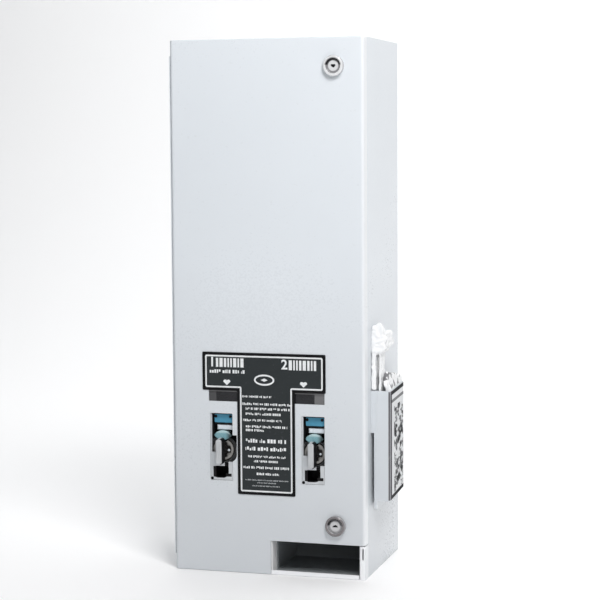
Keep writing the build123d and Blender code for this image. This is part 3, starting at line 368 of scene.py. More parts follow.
@dataclass(frozen=True)
class PrintedFilm(Finish):
    """White bag film with a few plain dark marks above a height."""

    mark_bottom: float = 238.0 * MM
    mark_top: float = 259.0 * MM
    mark_back: float = 20.0 * MM
    fade: float = 3.0 * MM
    soft: float = 1.0 * MM
    mark_scale: float = 95.0
    mark_octaves: float = 1.5
    mark_levels: Spot = (0.505, 0.545)
    mark_share: float = 0.9
    ink: Color = (0.07, 0.07, 0.08)

    def pattern(self, nodes: Nodes, place: NodeSocket, color: Any) -> Any:
        """Prints the marks."""
        axes = nodes.axes(place)
        blots = nodes.noise(place, self.mark_scale, self.mark_octaves)
        marks = nodes.remap(blots, *self.mark_levels, 0.0, self.mark_share)
        belt = nodes.math(
            "MULTIPLY",
            nodes.between(axes[2], self.mark_bottom, self.mark_top, self.soft),
            nodes.remap(axes[1], self.mark_back, self.mark_back + self.fade, 1.0, 0.0),
        )
        return nodes.mix(nodes.math("MULTIPLY", belt, marks), color, self.ink)


WHITE_ENAMEL = Finish(
    "white_enamel", (0.730, 0.770, 0.806), (0.700, 0.740, 0.776), (0.28, 0.38), coat=0.2,
    clouds=4.0, grain=420.0, bump=0.035, edge_wear_and_highlight=(0.82, 0.85, 0.87), edge_width=0.9 * MM,
    speck_color=(0.52, 0.53, 0.53), speck_share=0.16,
)
GALVANISED = Finish(
    "galvanised", (0.56, 0.58, 0.60), (0.40, 0.42, 0.44), (0.38, 0.52), metallic=0.9,
    spangle=0.6, clouds=12.0, bump=0.05, edge_wear_and_highlight=(0.72, 0.73, 0.74),
)
DARK_ENAMEL = Finish(
    "dark_enamel", (0.30, 0.32, 0.33), (0.24, 0.26, 0.27), (0.34, 0.46), coat=0.1, bump=0.06,
    edge_wear_and_highlight=(0.46, 0.47, 0.48), speck_color=(0.22, 0.22, 0.215), speck_share=0.3,
)
BLACK_PLATE = Finish(
    "black_plate", (0.005, 0.005, 0.006), (0.004, 0.004, 0.005), (0.50, 0.62),
    specular=0.15, stretch=(0.25, 1.0, 1.0), bump=0.05, edge_wear_and_highlight=(0.02, 0.02, 0.02), edge_width=0.3 * MM,
    speck_color=(0.09, 0.09, 0.10), speck_share=0.25,
)
LOCK_CHROME = Finish(
    "lock_chrome", (0.88, 0.89, 0.90), (0.80, 0.81, 0.82), (0.16, 0.26), metallic=0.3,
    clouds=60.0, bump=0.02, edge_wear_and_highlight=(0.62, 0.62, 0.63), edge_width=0.4 * MM,
)
STEEL = Finish(
    "steel", (0.58, 0.58, 0.59), (0.42, 0.42, 0.43), (0.24, 0.40), metallic=1.0, clouds=40.0,
    bump=0.06, edge_wear_and_highlight=(0.75, 0.75, 0.75), edge_width=0.3 * MM,
)
CAST_ZINC = Finish(
    "cast_zinc", (0.011, 0.010, 0.011), (0.007, 0.007, 0.008), (0.45, 0.62), specular=0.15,
    grain=900.0, bump=0.20, edge_wear_and_highlight=(0.10, 0.095, 0.09), edge_width=0.25 * MM,
    speck_color=(0.08, 0.075, 0.07), speck_share=0.3,
)
CASTING_GREY = Finish(
    "casting_grey", (0.60, 0.625, 0.65), (0.50, 0.52, 0.54), (0.30, 0.44), clouds=38.0,
    grain=800.0, bump=0.12, edge_wear_and_highlight=(0.84, 0.86, 0.87), speck_color=(0.25, 0.24, 0.24), speck_share=0.3,
)
WHEEL_METAL = Finish(
    "wheel_metal", (0.020, 0.018, 0.018), (0.005, 0.005, 0.005), (0.42, 0.58), metallic=0.2,
    specular=0.15, clouds=150.0, edge_wear_and_highlight=(0.10, 0.09, 0.085), edge_width=0.3 * MM,
)
GRIP_PLASTIC = Finish(
    "grip_plastic", (0.62, 0.635, 0.65), (0.52, 0.535, 0.55), (0.32, 0.45), clouds=55.0,
    edge_wear_and_highlight=(0.78, 0.79, 0.80), edge_width=0.4 * MM, speck_color=(0.30, 0.30, 0.30), speck_share=0.2,
)
SLOT_WHITE = Finish(
    "slot_white", (0.74, 0.79, 0.84), (0.64, 0.69, 0.74), (0.25, 0.35), clouds=80.0,
    bump=0.05, edge_wear_and_highlight=(0.88, 0.90, 0.92), speck_color=(0.35, 0.35, 0.34), speck_share=0.2,
)
PRICE_BLUE = Finish(
    "price_blue", (0.075, 0.285, 0.42), (0.060, 0.245, 0.375), (0.30, 0.42), specular=0.3,
    clouds=90.0, bump=0.05, edge_wear_and_highlight=(0.12, 0.36, 0.50), edge_width=0.3 * MM,
)
GUIDE_TEAL = Finish(
    "guide_teal", (0.25, 0.45, 0.50), (0.19, 0.38, 0.43), (0.22, 0.34), clouds=120.0,
    bump=0.04, edge_wear_and_highlight=(0.45, 0.62, 0.64), edge_width=0.4 * MM,
)
WINDOW_CLEAR = Finish(
    "window_clear", (0.020, 0.020, 0.024), (0.012, 0.012, 0.015), (0.10, 0.20), clouds=25.0,
    bump=0.01, transmission=0.25, ior=1.49,
)
BRACKET_GREY = Finish(
    "bracket_grey", (0.30, 0.31, 0.315), (0.24, 0.25, 0.255), (0.40, 0.55), bump=0.06,
    edge_wear_and_highlight=(0.38, 0.39, 0.40),
)
GEAR_BRASS = Finish(
    "gear_brass", (0.62, 0.44, 0.17), (0.46, 0.31, 0.11), (0.22, 0.38), metallic=1.0,
    clouds=80.0, bump=0.05, edge_wear_and_highlight=(0.78, 0.62, 0.30), edge_width=0.2 * MM,
)
WEIGHT_IRON = Finish(
    "weight_iron", (0.13, 0.135, 0.14), (0.085, 0.09, 0.095), (0.45, 0.62), grain=350.0,
    bump=0.30, edge_wear_and_highlight=(0.30, 0.29, 0.28),
)
BAG_FILM = Finish(
    "bag_film", (0.93, 0.935, 0.94), (0.87, 0.88, 0.89), (0.18, 0.32), coat=0.2, clouds=35.0,
    grain=140.0, stretch=(1.0, 1.0, 0.45), bump=0.15,
)
PRINTED_FILM = PrintedFilm(
    "printed_film", (0.90, 0.905, 0.91), (0.84, 0.85, 0.86), (0.25, 0.40), clouds=35.0,
    grain=140.0, bump=0.12,
)
LABEL_CARD = LabelCard(
    "label_card", (0.80, 0.81, 0.82), (0.72, 0.73, 0.74), (0.55, 0.70), specular=0.05,
    clouds=30.0, bump=0.03,
)
BLACKENED = Finish(
    "screw_dark", (0.006, 0.006, 0.007), (0.003, 0.003, 0.004), (0.45, 0.60), specular=0.2,
    clouds=120.0, bump=0.05, edge_wear_and_highlight=(0.04, 0.04, 0.045), edge_width=0.12 * MM,
)
WHITE_PRINT = Finish(
    "white_print", (0.84, 0.86, 0.87), (0.74, 0.76, 0.77), (0.40, 0.50), clouds=120.0,
    bump=0.03, speck_color=(0.30, 0.30, 0.31), speck_share=0.35, edge_width=0.05 * MM,
)
GREY_PRINT = Finish(
    "grey_print", (0.46, 0.48, 0.49), (0.36, 0.38, 0.39), (0.42, 0.52), clouds=120.0,
    bump=0.03, speck_color=(0.12, 0.12, 0.12), speck_share=0.4, edge_width=0.05 * MM,
)

# The plate's T and its border
ARM_BOTTOM = 235.7 * MM
STEM = (-40.4 * MM, 36.0 * MM)
PLATE_EDGE = 5.4 * MM
# Painted light at the outer ends of the windows, and a painted highlight along their top edge
WINDOW_LIT_ENDS = (-69.3 * MM, 61.4 * MM)
WINDOW_HIGHLIGHT_TOP = ARM_BOTTOM - 1.9 * MM
# The enamel's painted shade low down, the painted highlight on the door's edge and the holder's dark corner
LOW_SHADE_MIDDLE = 240.0 * MM
LOW_SHADE_SOFT = 160.0 * MM
DOOR_HIGHLIGHT = 2.2 * MM
DOOR_BACK = -76.1 * MM
LABEL_FOLD = 2.6 * MM
FOLD_GAP = 2.0 * MM
# Painted light on the lip and jamb round the tray's mouth
JAMB = (2.7 * MM, 6.0 * MM)
JAMB_FRONT = -91.6 * MM
JAMB_BOTTOM = 0.8 * MM
MOUTH_END = 1.0 * MM
MOUTH_BACK = -68.0 * MM
MOUTH_TOP = 44.0 * MM
# The castings' bright face, the wheels' ring of painted highlight and spots of painted glint (right, up,
# radius), and where the guides' painted highlight and shade lie
CASTING_FACE = 2.6 * MM
HIGHLIGHT_RING = (10.6 * MM, 13.4 * MM)
GLINT_SPOTS = ((7.6 * MM, 7.4 * MM, 2.2 * MM), (7.8 * MM, -7.2 * MM, 2.8 * MM))
WHOLE_DISC = -1.0
GUIDE_HIGHLIGHT = 2.6 * MM
GUIDE_SHADE = (19.0 * MM, 1.0 * MM)
GUIDE_TIP_SHADE = (2.0 * MM, 1.6 * MM)
# The locks' collar, rim, recess and plug with painted reflections, and the painted shade in the recess, as
# radii
COLLAR = (9.4 * MM, 20.0 * MM)
COLLAR_RIM = (12.5 * MM, 20.0 * MM)
RECESS = (6.7 * MM, 9.4 * MM)
RECESS_SHADE = (7.2 * MM, 10.2 * MM)
SHADE_RISE = 1.2 * MM
PLUG_FACE = (0.0, 6.6 * MM)


def enamel() -> Finish:
    """Fits the white enamel: painted shade low down, a painted highlight on the door's edge, the holder's
    dark corner and painted light round the tray's mouth.
    """
    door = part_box("door_skin")[1].x
    low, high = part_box("holder_label")
    back, top = MOUTH_BACK, MOUTH_TOP
    fold = ((high.x - LABEL_FOLD, None), (None, low.y - FOLD_GAP), (low.z, high.z))
    patches = (
        # painted shade: the enamel darkens towards the bottom
        Patch((0.600, 0.628, 0.655), z=(None, LOW_SHADE_MIDDLE), soft=LOW_SHADE_SOFT, share=0.9),
        # painted highlight: lighter enamel along the door's rounded right edge
        Patch((0.80, 0.82, 0.84), x=(door - DOOR_HIGHLIGHT, None), y=(None, DOOR_BACK), soft=1.5 * MM),
        Patch((0.10, 0.095, 0.105), *fold, 0.3 * MM),
        # painted light: lighter enamel round the tray's mouth
        Patch((0.90, 0.91, 0.93), (JAMB[0], door - MOUTH_END), (None, back), (None, top)),
        # painted light: brighter enamel on the jamb's shaded inner face
        Patch((0.98, 0.98, 0.98), JAMB, (JAMB_FRONT, back), (JAMB_BOTTOM, top)),
    )
    return replace(WHITE_ENAMEL, patches=patches)


def plate() -> Finish:
    """Fits the plate's greyer field, inside its black border, to the T."""
    low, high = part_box("instruction_plate")
    line, ink = PLATE_EDGE, (0.029, 0.034, 0.036)
    arm = Patch(ink, x=(low.x + line, high.x - line), z=(ARM_BOTTOM + line, high.z - line))
    stem = Patch(ink, x=(STEM[0] + line, STEM[1] - line), z=(low.z + line, ARM_BOTTOM + 2 * line))
    return replace(BLACK_PLATE, patches=(arm, stem))


def castings() -> Finish:
    """Fits the shade behind the bright face of the castings."""
    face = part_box("mech_front_left")[0].y + CASTING_FACE
    return replace(CASTING_GREY, patches=(Patch((0.020, 0.021, 0.023), y=(face, None), soft=0.8 * MM),))


def wheels() -> Finish:
    """Paints a ring of highlight and spots of glint onto both wheels."""
    grey, rings = (0.42, 0.41, 0.395), []
    for side in SIDES:
        x, z = center_of(f"knob_shaft_{side}")
        # painted highlight: a lighter ring and lighter spots on the dark wheel
        rings.append(Ring(grey, center=(x, z), radii=HIGHLIGHT_RING, soft=0.7 * MM, share=0.9))
        for right, up, radius in GLINT_SPOTS:
            spot = {"center": (x + right, z + up), "radii": (WHOLE_DISC, radius)}
            rings.append(Ring(grey, soft=0.9 * MM, share=0.6, **spot))
    return replace(WHEEL_METAL, patches=tuple(rings))


def guides() -> Finish:
    """Paints a highlight along the crest, and shade at the inner end and at the tip, of both guides."""
    patches = []
    for side in SIDES:
        low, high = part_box(f"coin_guide_{side}")
        inside = (low.x + GUIDE_SHADE[0], high.x + GUIDE_SHADE[1])
        tip = (low.x - GUIDE_TIP_SHADE[0], low.x + GUIDE_TIP_SHADE[1])
        patches += [
            # painted highlight along the crest, then painted shade at the inner end and at the tip
            Patch((0.58, 0.74, 0.75), z=(high.z - GUIDE_HIGHLIGHT, None), soft=1.4 * MM, share=0.5),
            Patch((0.035, 0.05, 0.05), x=inside, soft=2.8 * MM, share=0.95),
            Patch((0.02, 0.05, 0.06), x=tip, soft=0.8 * MM, share=0.9),
        ]
    return replace(GUIDE_TEAL, patches=tuple(patches))


def windows() -> Finish:
    """Paints light at the outer ends and a highlight along the top edge of both windows."""
    # painted light at the ends, and a painted highlight along the top
    left = Patch((0.085, 0.085, 0.088), x=(None, WINDOW_LIT_ENDS[0]), soft=0.8 * MM)
    right = Patch((0.20, 0.20, 0.205), x=(WINDOW_LIT_ENDS[1], None), soft=0.8 * MM)
    top = Patch((0.22, 0.22, 0.225), z=(WINDOW_HIGHLIGHT_TOP, None), soft=0.3 * MM, share=0.8)
    return replace(WINDOW_CLEAR, patches=(left, right, top))


def locks() -> Finish:
    """Paints reflections on the collar, its rim and the recess of both locks, shade in the upper part of the
    recess, and a darker reflection on the lower plug's face.
    """
    rings = []
    for place, collar in (("upper", (0.90, 0.91, 0.92)), ("lower", (0.20, 0.185, 0.19))):
        center = center_of(f"lock_body_{place}")
        shade = (center[1] + SHADE_RISE, None)
        # painted reflections on the chrome, light on the upper lock and dark on the lower, and painted shade
        # in the upper part of the recess
        rings += [
            Ring(collar, center=center, radii=COLLAR, soft=0.35 * MM),
            Ring((0.42, 0.42, 0.43), center=center, radii=COLLAR_RIM, soft=0.35 * MM, share=0.8),
            Ring((0.27, 0.27, 0.28), center=center, radii=RECESS, soft=0.35 * MM, share=0.9),
            Ring((0.003, 0.003, 0.004), z=shade, center=center, radii=RECESS_SHADE, soft=0.9 * MM),
        ]
    center = center_of("lock_body_lower")
    rings.append(Ring((0.34, 0.33, 0.34), center=center, radii=PLUG_FACE, soft=0.3 * MM, share=0.55))
    return replace(LOCK_CHROME, patches=tuple(rings))


def finish_of_slots() -> dict[str, Finish]:
    """Gives the finish of each material slot of the record."""
    finishes = (
        GALVANISED, DARK_ENAMEL, STEEL, CAST_ZINC, GRIP_PLASTIC, SLOT_WHITE, PRICE_BLUE, BRACKET_GREY,
        GEAR_BRASS, WEIGHT_IRON, BAG_FILM, BLACKENED, LABEL_CARD,
        enamel(), plate(), castings(), wheels(), guides(), windows(), locks(),
    )
    return {finish.name: finish for finish in finishes}


def new_object(name: str, data: bpy.types.ID) -> Object:
    """Puts a mesh, camera, light or type in the scene as an object at the origin."""
    made = bpy.data.objects.new(name, data)
    bpy.context.scene.collection.objects.link(made)
    return made


def drop(*objects: Object) -> None:
    """Takes helper objects out of the scene."""
    for each in objects:
        bpy.data.objects.remove(each, do_unlink=True)


def mesh_object(name: str, points: Sequence[Point], faces: Sequence = (), edges: Sequence = ()) -> Object:
    """Makes an object from plain lists."""
    mesh = bpy.data.meshes.new(name)
    mesh.from_pydata([tuple(p) for p in points], list(edges), list(faces))
    mesh.update()
    return new_object(name, mesh)


def shown_mesh(made: Object) -> Mesh:
    """Gives an object's shape, with its modifiers, as a new mesh."""
    bpy.context.view_layer.update()
    return bpy.data.meshes.new_from_object(made.evaluated_get(bpy.context.evaluated_depsgraph_get()))


def settle(made: Object) -> None:
    """Turns an object's modifiers into its plain mesh."""
    mesh = shown_mesh(made)
    made.modifiers.clear()
    made.data = mesh


def smooth(made: Object, angle: float) -> None:
    """Shades a piece smooth where its faces meet at less than an angle, in degrees."""
    made.data.shade_smooth()
    made.data.set_sharp_from_angle(angle=math.radians(angle))


def reshape(made: Object, change: Callable[[bmesh.types.BMesh], Any]) -> None:
    """Runs a change on the points and faces of an object's mesh."""
    work = bmesh.new()
    work.from_mesh(made.data)
    change(work)
    work.to_mesh(made.data)
    work.free()


def rows_of(number: int, count: int) -> list[range]:
    """Numbers the points of rows of the same length, one row after the other."""
    return [range(k * count, (k + 1) * count) for k in range(number)]


def quads(first: Sequence[int], second: Sequence[int], closed: bool = True) -> list[tuple[int, ...]]:
    """Gives the faces between two rows of points, also from the last points to the first where closed."""
    pairs = list(zip(first, second))
    following = pairs[1:] + pairs[:1] if closed else pairs[1:]
    return [(a, next_a, next_b, b) for (a, b), (next_a, next_b) in zip(pairs, following)]


def fit(made: Object, body: str, finish: Finish) -> Object:
    """Gives a piece its finish and its body.

    Args:
        made: the piece.
        body: name of the CAD body that it rides on.
        finish: its finish.

    Returns:
        The piece.
    """
    made.data.materials.clear()
    made.data.materials.append(finish.material())
    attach(made, body)
    log.info("piece %s rides on %s", made.name, body)
    return made


class Tree:
    """A Geometry Nodes tree with named inputs."""

    def __init__(self, name: str, sockets: dict[str, str]) -> None:
        """Makes the tree's sockets and its input node.

        Args:
            name: the tree's name.
            sockets: kind of each input after the geometry, by name.
        """
        self.name = name
        self.group = bpy.data.node_groups.new(name, "GeometryNodeTree")
        for socket, kind in {"Geometry": "NodeSocketGeometry", **sockets}.items():
            self.group.interface.new_socket(socket, in_out="INPUT", socket_type=kind)
        self.group.interface.new_socket("Geometry", in_out="OUTPUT", socket_type="NodeSocketGeometry")
        self.nodes = Nodes(self.group)
        self.given = self.nodes.add("NodeGroupInput").outputs

    def end(self, shape: NodeSocket) -> None:
        """Ends the tree with a shape that is made real and gets its material."""
        real = self.nodes.add("GeometryNodeRealizeInstances", {0: shape}).outputs[0]
        inputs = {"Geometry": real, "Material": self.given["Finish"]}
        finished = self.nodes.add("GeometryNodeSetMaterial", inputs)
        self.nodes.add("NodeGroupOutput", {0: finished.outputs[0]})

    def grow(self, made: Object, values: dict[str, Any]) -> None:
        """Runs the tree on an object and keeps the result as its plain mesh.

        Args:
            made: the object to grow.
            values: the tree's inputs, by name.
        """
        modifier = made.modifiers.new(self.name, "NODES")
        modifier.node_group = self.group
        for item in self.group.interface.items_tree:
            if item.in_out == "INPUT" and item.name in values:
                modifier[item.identifier] = values[item.name]
        settle(made)


class Scatter(Tree):
    """Sets a piece on each point, turned and scaled by the point's own attributes."""

    def __init__(self) -> None:
        """Builds the tree."""
        super().__init__("scatter_on_points", {"Piece": "NodeSocketObject", "Finish": "NodeSocketMaterial"})
        piece = self.nodes.add("GeometryNodeObjectInfo", {"Object": self.given["Piece"]})
        turn, size = (
            self.nodes.add("GeometryNodeInputNamedAttribute", {"Name": name}, data_type="FLOAT_VECTOR")
            for name in ("turn", "size")
        )
        inputs = {
            "Points": self.given["Geometry"],
            "Instance": piece.outputs["Geometry"],
            "Rotation": turn.outputs[0],
            "Scale": size.outputs[0],
        }
        self.end(self.nodes.add("GeometryNodeInstanceOnPoints", inputs).outputs[0])

    def spread(
        self,
        name: str,
        pattern: Object,
        places: Sequence[Point],
        finish: Finish,
        body: str,
        slot: str | None = None,
        turns: Facing | Sequence[Point] = Facing.CUSTOMER,
        sizes: Sequence[Point] = (),
    ) -> Object:
        """Makes one piece of many copies, and drops the pattern.

        Args:
            name: name of the new piece.
            pattern: object to copy, which faces +Z at the origin.
            places: where the copies go.
            finish: their finish.
            body: name of the CAD body that they ride on.
            slot: the record's slot that the finish stands for. It is not used.
            turns: the way that all of them face, or the Euler angles of each.
            sizes: their scales, where they aren't copied at full size.

        Returns:
            The new piece.
        """
        count = len(places)
        turns = [turns.value] * count if isinstance(turns, Facing) else turns
        made = mesh_object(name, places)
        for attribute, rows in (("turn", turns), ("size", sizes or [(1, 1, 1)] * count)):
            layer = made.data.attributes.new(attribute, "FLOAT_VECTOR", "POINT")
            layer.data.foreach_set("vector", [number for row in rows for number in row])
        self.grow(made, {"Piece": pattern, "Finish": finish.material()})
        drop(pattern)
        return fit(made, body, finish)


class Rail(Tree):
    """Sweeps a flat strip along a run of edges, with rounded corners."""

    CORNER_STEPS = 5

    def __init__(self) -> None:
        """Builds the tree."""
        sizes = dict.fromkeys(("Width", "Height", "Corner"), "NodeSocketFloat")
        super().__init__("strip_along_edges", {**sizes, "Finish": "NodeSocketMaterial"})
        line = self.nodes.add("GeometryNodeMeshToCurve", {0: self.given["Geometry"]}).outputs[0]
        corner = {"Radius": self.given["Corner"], "Limit Radius": True, "Count": self.CORNER_STEPS}
        rounded = self.nodes.add("GeometryNodeFilletCurve", {0: line, **corner}, mode="POLY").outputs[0]
        inputs = {side: self.given[side] for side in ("Width", "Height")}
        profile = self.nodes.add("GeometryNodeCurvePrimitiveQuadrilateral", inputs).outputs[0]
        inputs = {"Curve": rounded, "Profile Curve": profile, "Fill Caps": True}
        self.end(self.nodes.add("GeometryNodeCurveToMesh", inputs).outputs[0])

    def lay(self, name: str, line: Sequence[Point], values: dict[str, float], finish: Finish) -> Object:
        """Lays a closed strip.

        Args:
            name: name of the new piece.
            line: corners of the strip's middle line.
            values: the strip's Width out of its plane, Height across its line and Corner radius.
            finish: the strip's finish.

        Returns:
            The new piece.
        """
        count = len(line)
        edges = [(i, (i + 1) % count) for i in range(count)]
        made = mesh_object(name, line, edges=edges)
        self.grow(made, {**values, "Finish": finish.material()})
        return made


def pan_head(radius: float, height: float, cross: bool = False) -> Object:
    """Makes the head of a screw or rivet that faces +Z on the origin.

    Args:
        radius: the head's radius.
        height: the head's height.
        cross: whether the head has a cross recess.

    Returns:
        The head, a pattern to copy.
    """
    rings = ((1.0, -0.02), (1.0, 0.35), (0.93, 0.62), (0.74, 0.85), (0.45, 0.97))
    arm_length, arm_width, arm_depth, arm_place = 1.15, 0.26, 1.2, 1.02
    sides = 20
    angles = [2 * math.pi * i / sides for i in range(sides)]
    points = [
        (radius * r * math.cos(a), radius * r * math.sin(a), height * h) for r, h in rings for a in angles
    ]
    rows = rows_of(len(rings), sides)
    faces = [face for first, second in zip(rows, rows[1:]) for face in quads(first, second)]
    head = mesh_object("head", points, [*faces, tuple(rows[-1]), tuple(reversed(rows[0]))])
    if cross:
        cutters = []
        size = Matrix.Diagonal((radius * arm_length, radius * arm_width, height * arm_depth, 1.0))
        for turn in (0.0, math.pi / 2):
            place = Matrix.Rotation(turn, 4, "Z") @ Matrix.Translation((0, 0, height * arm_place)) @ size
            cutters.append(mesh_object("cutter", ()))
            reshape(cutters[-1], lambda work: bmesh.ops.create_cube(work, size=1.0, matrix=place))
            cut = head.modifiers.new("cut", "BOOLEAN")
            cut.operation = "DIFFERENCE"
            cut.object = cutters[-1]
            cut.solver = "EXACT"
        settle(head)
        drop(*cutters)
    smooth(head, CRISP_ANGLE)
    return head


SQUARE = ((-0.5, -0.5), (0.5, -0.5), (0.5, 0.5), (-0.5, 0.5))


def tile(outline: Sequence[Spot], thickness: float, size: Spot = (1.0, 1.0)) -> Object:
    """Makes a flat prism that faces +Z on the origin.

    Args:
        outline: its corners in anticlockwise order.
        thickness: how far it stands out.
        size: scale of the outline.

    Returns:
        The prism, a pattern to copy.
    """
    points = [(x * size[0], y * size[1], z) for z in (0.0, thickness) for x, y in outline]
    back, front = rows_of(2, len(outline))
    return mesh_object("tile", points, [tuple(front), tuple(reversed(back)), *quads(back, front)])


def hoop(size: Spot, line: float, thickness: float) -> Object:
    """Makes a flat oval ring that faces +Z round the origin.

    Args:
        size: outer width and height.
        line: width of the ring itself.
        thickness: how far it stands out.

    Returns:
        The ring, a pattern to copy.
    """
    sides = 48
    points = []
    for inward, level in ((0.0, 0.0), (0.0, thickness), (line, thickness), (line, 0.0)):
        wide, tall = size[0] / 2 - inward, size[1] / 2 - inward
        angles = [2 * math.pi * i / sides for i in range(sides)]
        points += [(wide * math.cos(angle), tall * math.sin(angle), level) for angle in angles]
    rows = rows_of(4, sides)
    faces = [face for first, second in zip(rows, (*rows[1:], rows[0])) for face in quads(first, second)]
    return mesh_object("hoop", points, faces)


def numeral(text: str, size: float, thickness: float, place: Point) -> Object:
    """Sets a number as a mesh that faces the customer.

    Args:
        text: the number.
        size: height of the type.
        thickness: how far the number stands out.
        place: the middle of the number's back.

    Returns:
        The number as a piece at the origin.
    """
    boldness, steps = 0.022, 3
    name = f"plate_number_{text}"
    curve = bpy.data.curves.new(name, "FONT")
    curve.body = text
    curve.size = size
    curve.align_x = curve.align_y = "CENTER"
    curve.extrude = thickness / 2
    curve.offset = size * boldness
    curve.resolution_u = steps
    flat = new_object(f"{name}_type", curve)
    mesh = shown_mesh(flat)
    drop(flat)
    turn = Matrix.Rotation(Facing.CUSTOMER.value[0], 4, "X")
    mesh.transform(Matrix.Translation(place) @ turn @ Matrix.Translation((0, 0, thickness / 2)))
    return new_object(name, mesh)


@dataclass
class View:
    """Camera at the photograph's viewing angle."""

    place: Point = (0.6634, -2.2088, 0.5530)
    yaw: float = 16.32
    pitch_down: float = 5.17
    roll: float = -0.37
    focal_pixels: float = 1765.1
    frame_pixels: float = 600.0
    sensor: float = 36.0

    def build(self) -> None:
        """Makes the camera and sets it as the scene's."""
        data = bpy.data.cameras.new("photo_camera")
        data.sensor_width = self.sensor
        data.lens = self.focal_pixels / self.frame_pixels * self.sensor
        camera = new_object("photo_camera", data)
        turn = Matrix.Translation(self.place)
        for degrees, axis in ((self.yaw, "Z"), (90.0 - self.pitch_down, "X"), (self.roll, "Z")):
            turn = turn @ Matrix.Rotation(math.radians(degrees), 4, axis)
        camera.matrix_world = turn
        bpy.context.scene.camera = camera


@dataclass(frozen=True)
class Lamp:
    """A square soft light: its place, side, watts and colour, and the point that it faces."""

    name: str
    place: Point
    size: float
    power: float
    color: Color = (1.0, 1.0, 1.0)
    aim: Point = (0.0, 0.0, 0.33)

    def hang(self) -> None:
        """Hangs the light."""
        data = bpy.data.lights.new(self.name, "AREA")
        data.size, data.energy, data.color = self.size, self.power, self.color
        away = Vector(self.place) - Vector(self.aim)
        turn = away.to_track_quat("Z", "Y").to_matrix().to_4x4()
        new_object(self.name, data).matrix_world = Matrix.Translation(self.place) @ turn


@dataclass
class Studio:
    """Pale floor that curves up behind the machine, and soft lights."""

    floor_color: Color = (0.95, 0.95, 0.95)
    floor_roughness: float = 0.9
    floor_level: float = -0.05 * MM
    world_color: Color = (0.94, 0.965, 1.0)
    world_strength: float = 0.27
    half_width: float = 7.0
    front: float = -7.0
    back: float = 2.4
    rise: float = 5.0
    bend: float = 1.2
    steps: int = 16
    lamps: tuple[Lamp, ...] = (
        Lamp("key_light", (0.65, -1.02, 1.55), 0.6, 21.0, (1.0, 0.985, 0.98)),
        Lamp("fill_light", (-1.9, -1.9, 0.9), 1.8, 3.0, (0.95, 0.975, 1.0)),
        Lamp("low_light", (1.1, -2.1, 0.35), 0.8, 3.0),
        Lamp("backdrop_light", (0.0, 1.5, 2.5), 3.0, 55.0, aim=(0.0, 2.4, 0.7)),
    )

    def build(self) -> None:
        """Makes the floor, the lights and the world."""
        start, bend = self.back - self.bend, self.bend
        angles = [math.pi / 2 * i / self.steps for i in range(1, self.steps + 1)]
        curve = [(start + bend * math.sin(angle), bend - bend * math.cos(angle)) for angle in angles]
        profile = [(self.front, 0.0), (start, 0.0), *curve, (self.back, self.rise)]
        sides = (-self.half_width, self.half_width)
        points = [(x, y, z + self.floor_level) for y, z in profile for x in sides]
        faces = [(2 * i, 2 * i + 1, 2 * i + 3, 2 * i + 2) for i in range(len(profile) - 1)]
        floor = mesh_object("studio_floor", points, faces)
        smooth(floor, SOFT_ANGLE)
        paint = bpy.data.materials.new("studio_floor")
        paint.use_nodes = True
        shader = paint.node_tree.nodes["Principled BSDF"]
        shader.inputs["Base Color"].default_value = (*self.floor_color, 1.0)
        shader.inputs["Roughness"].default_value = self.floor_roughness
        floor.data.materials.append(paint)
        for lamp in self.lamps:
            lamp.hang()
        world = bpy.data.worlds.new("studio_world")
        world.use_nodes = True
        sky = world.node_tree.nodes["Background"]
        sky.inputs["Color"].default_value = (*self.world_color, 1.0)
        sky.inputs["Strength"].default_value = self.world_strength
        bpy.context.scene.world = world
        bpy.context.scene.view_settings.view_transform = "Standard"


@dataclass
class Dressing:
    """A set of small pieces, with the tree that copies them."""

    scatter: Scatter


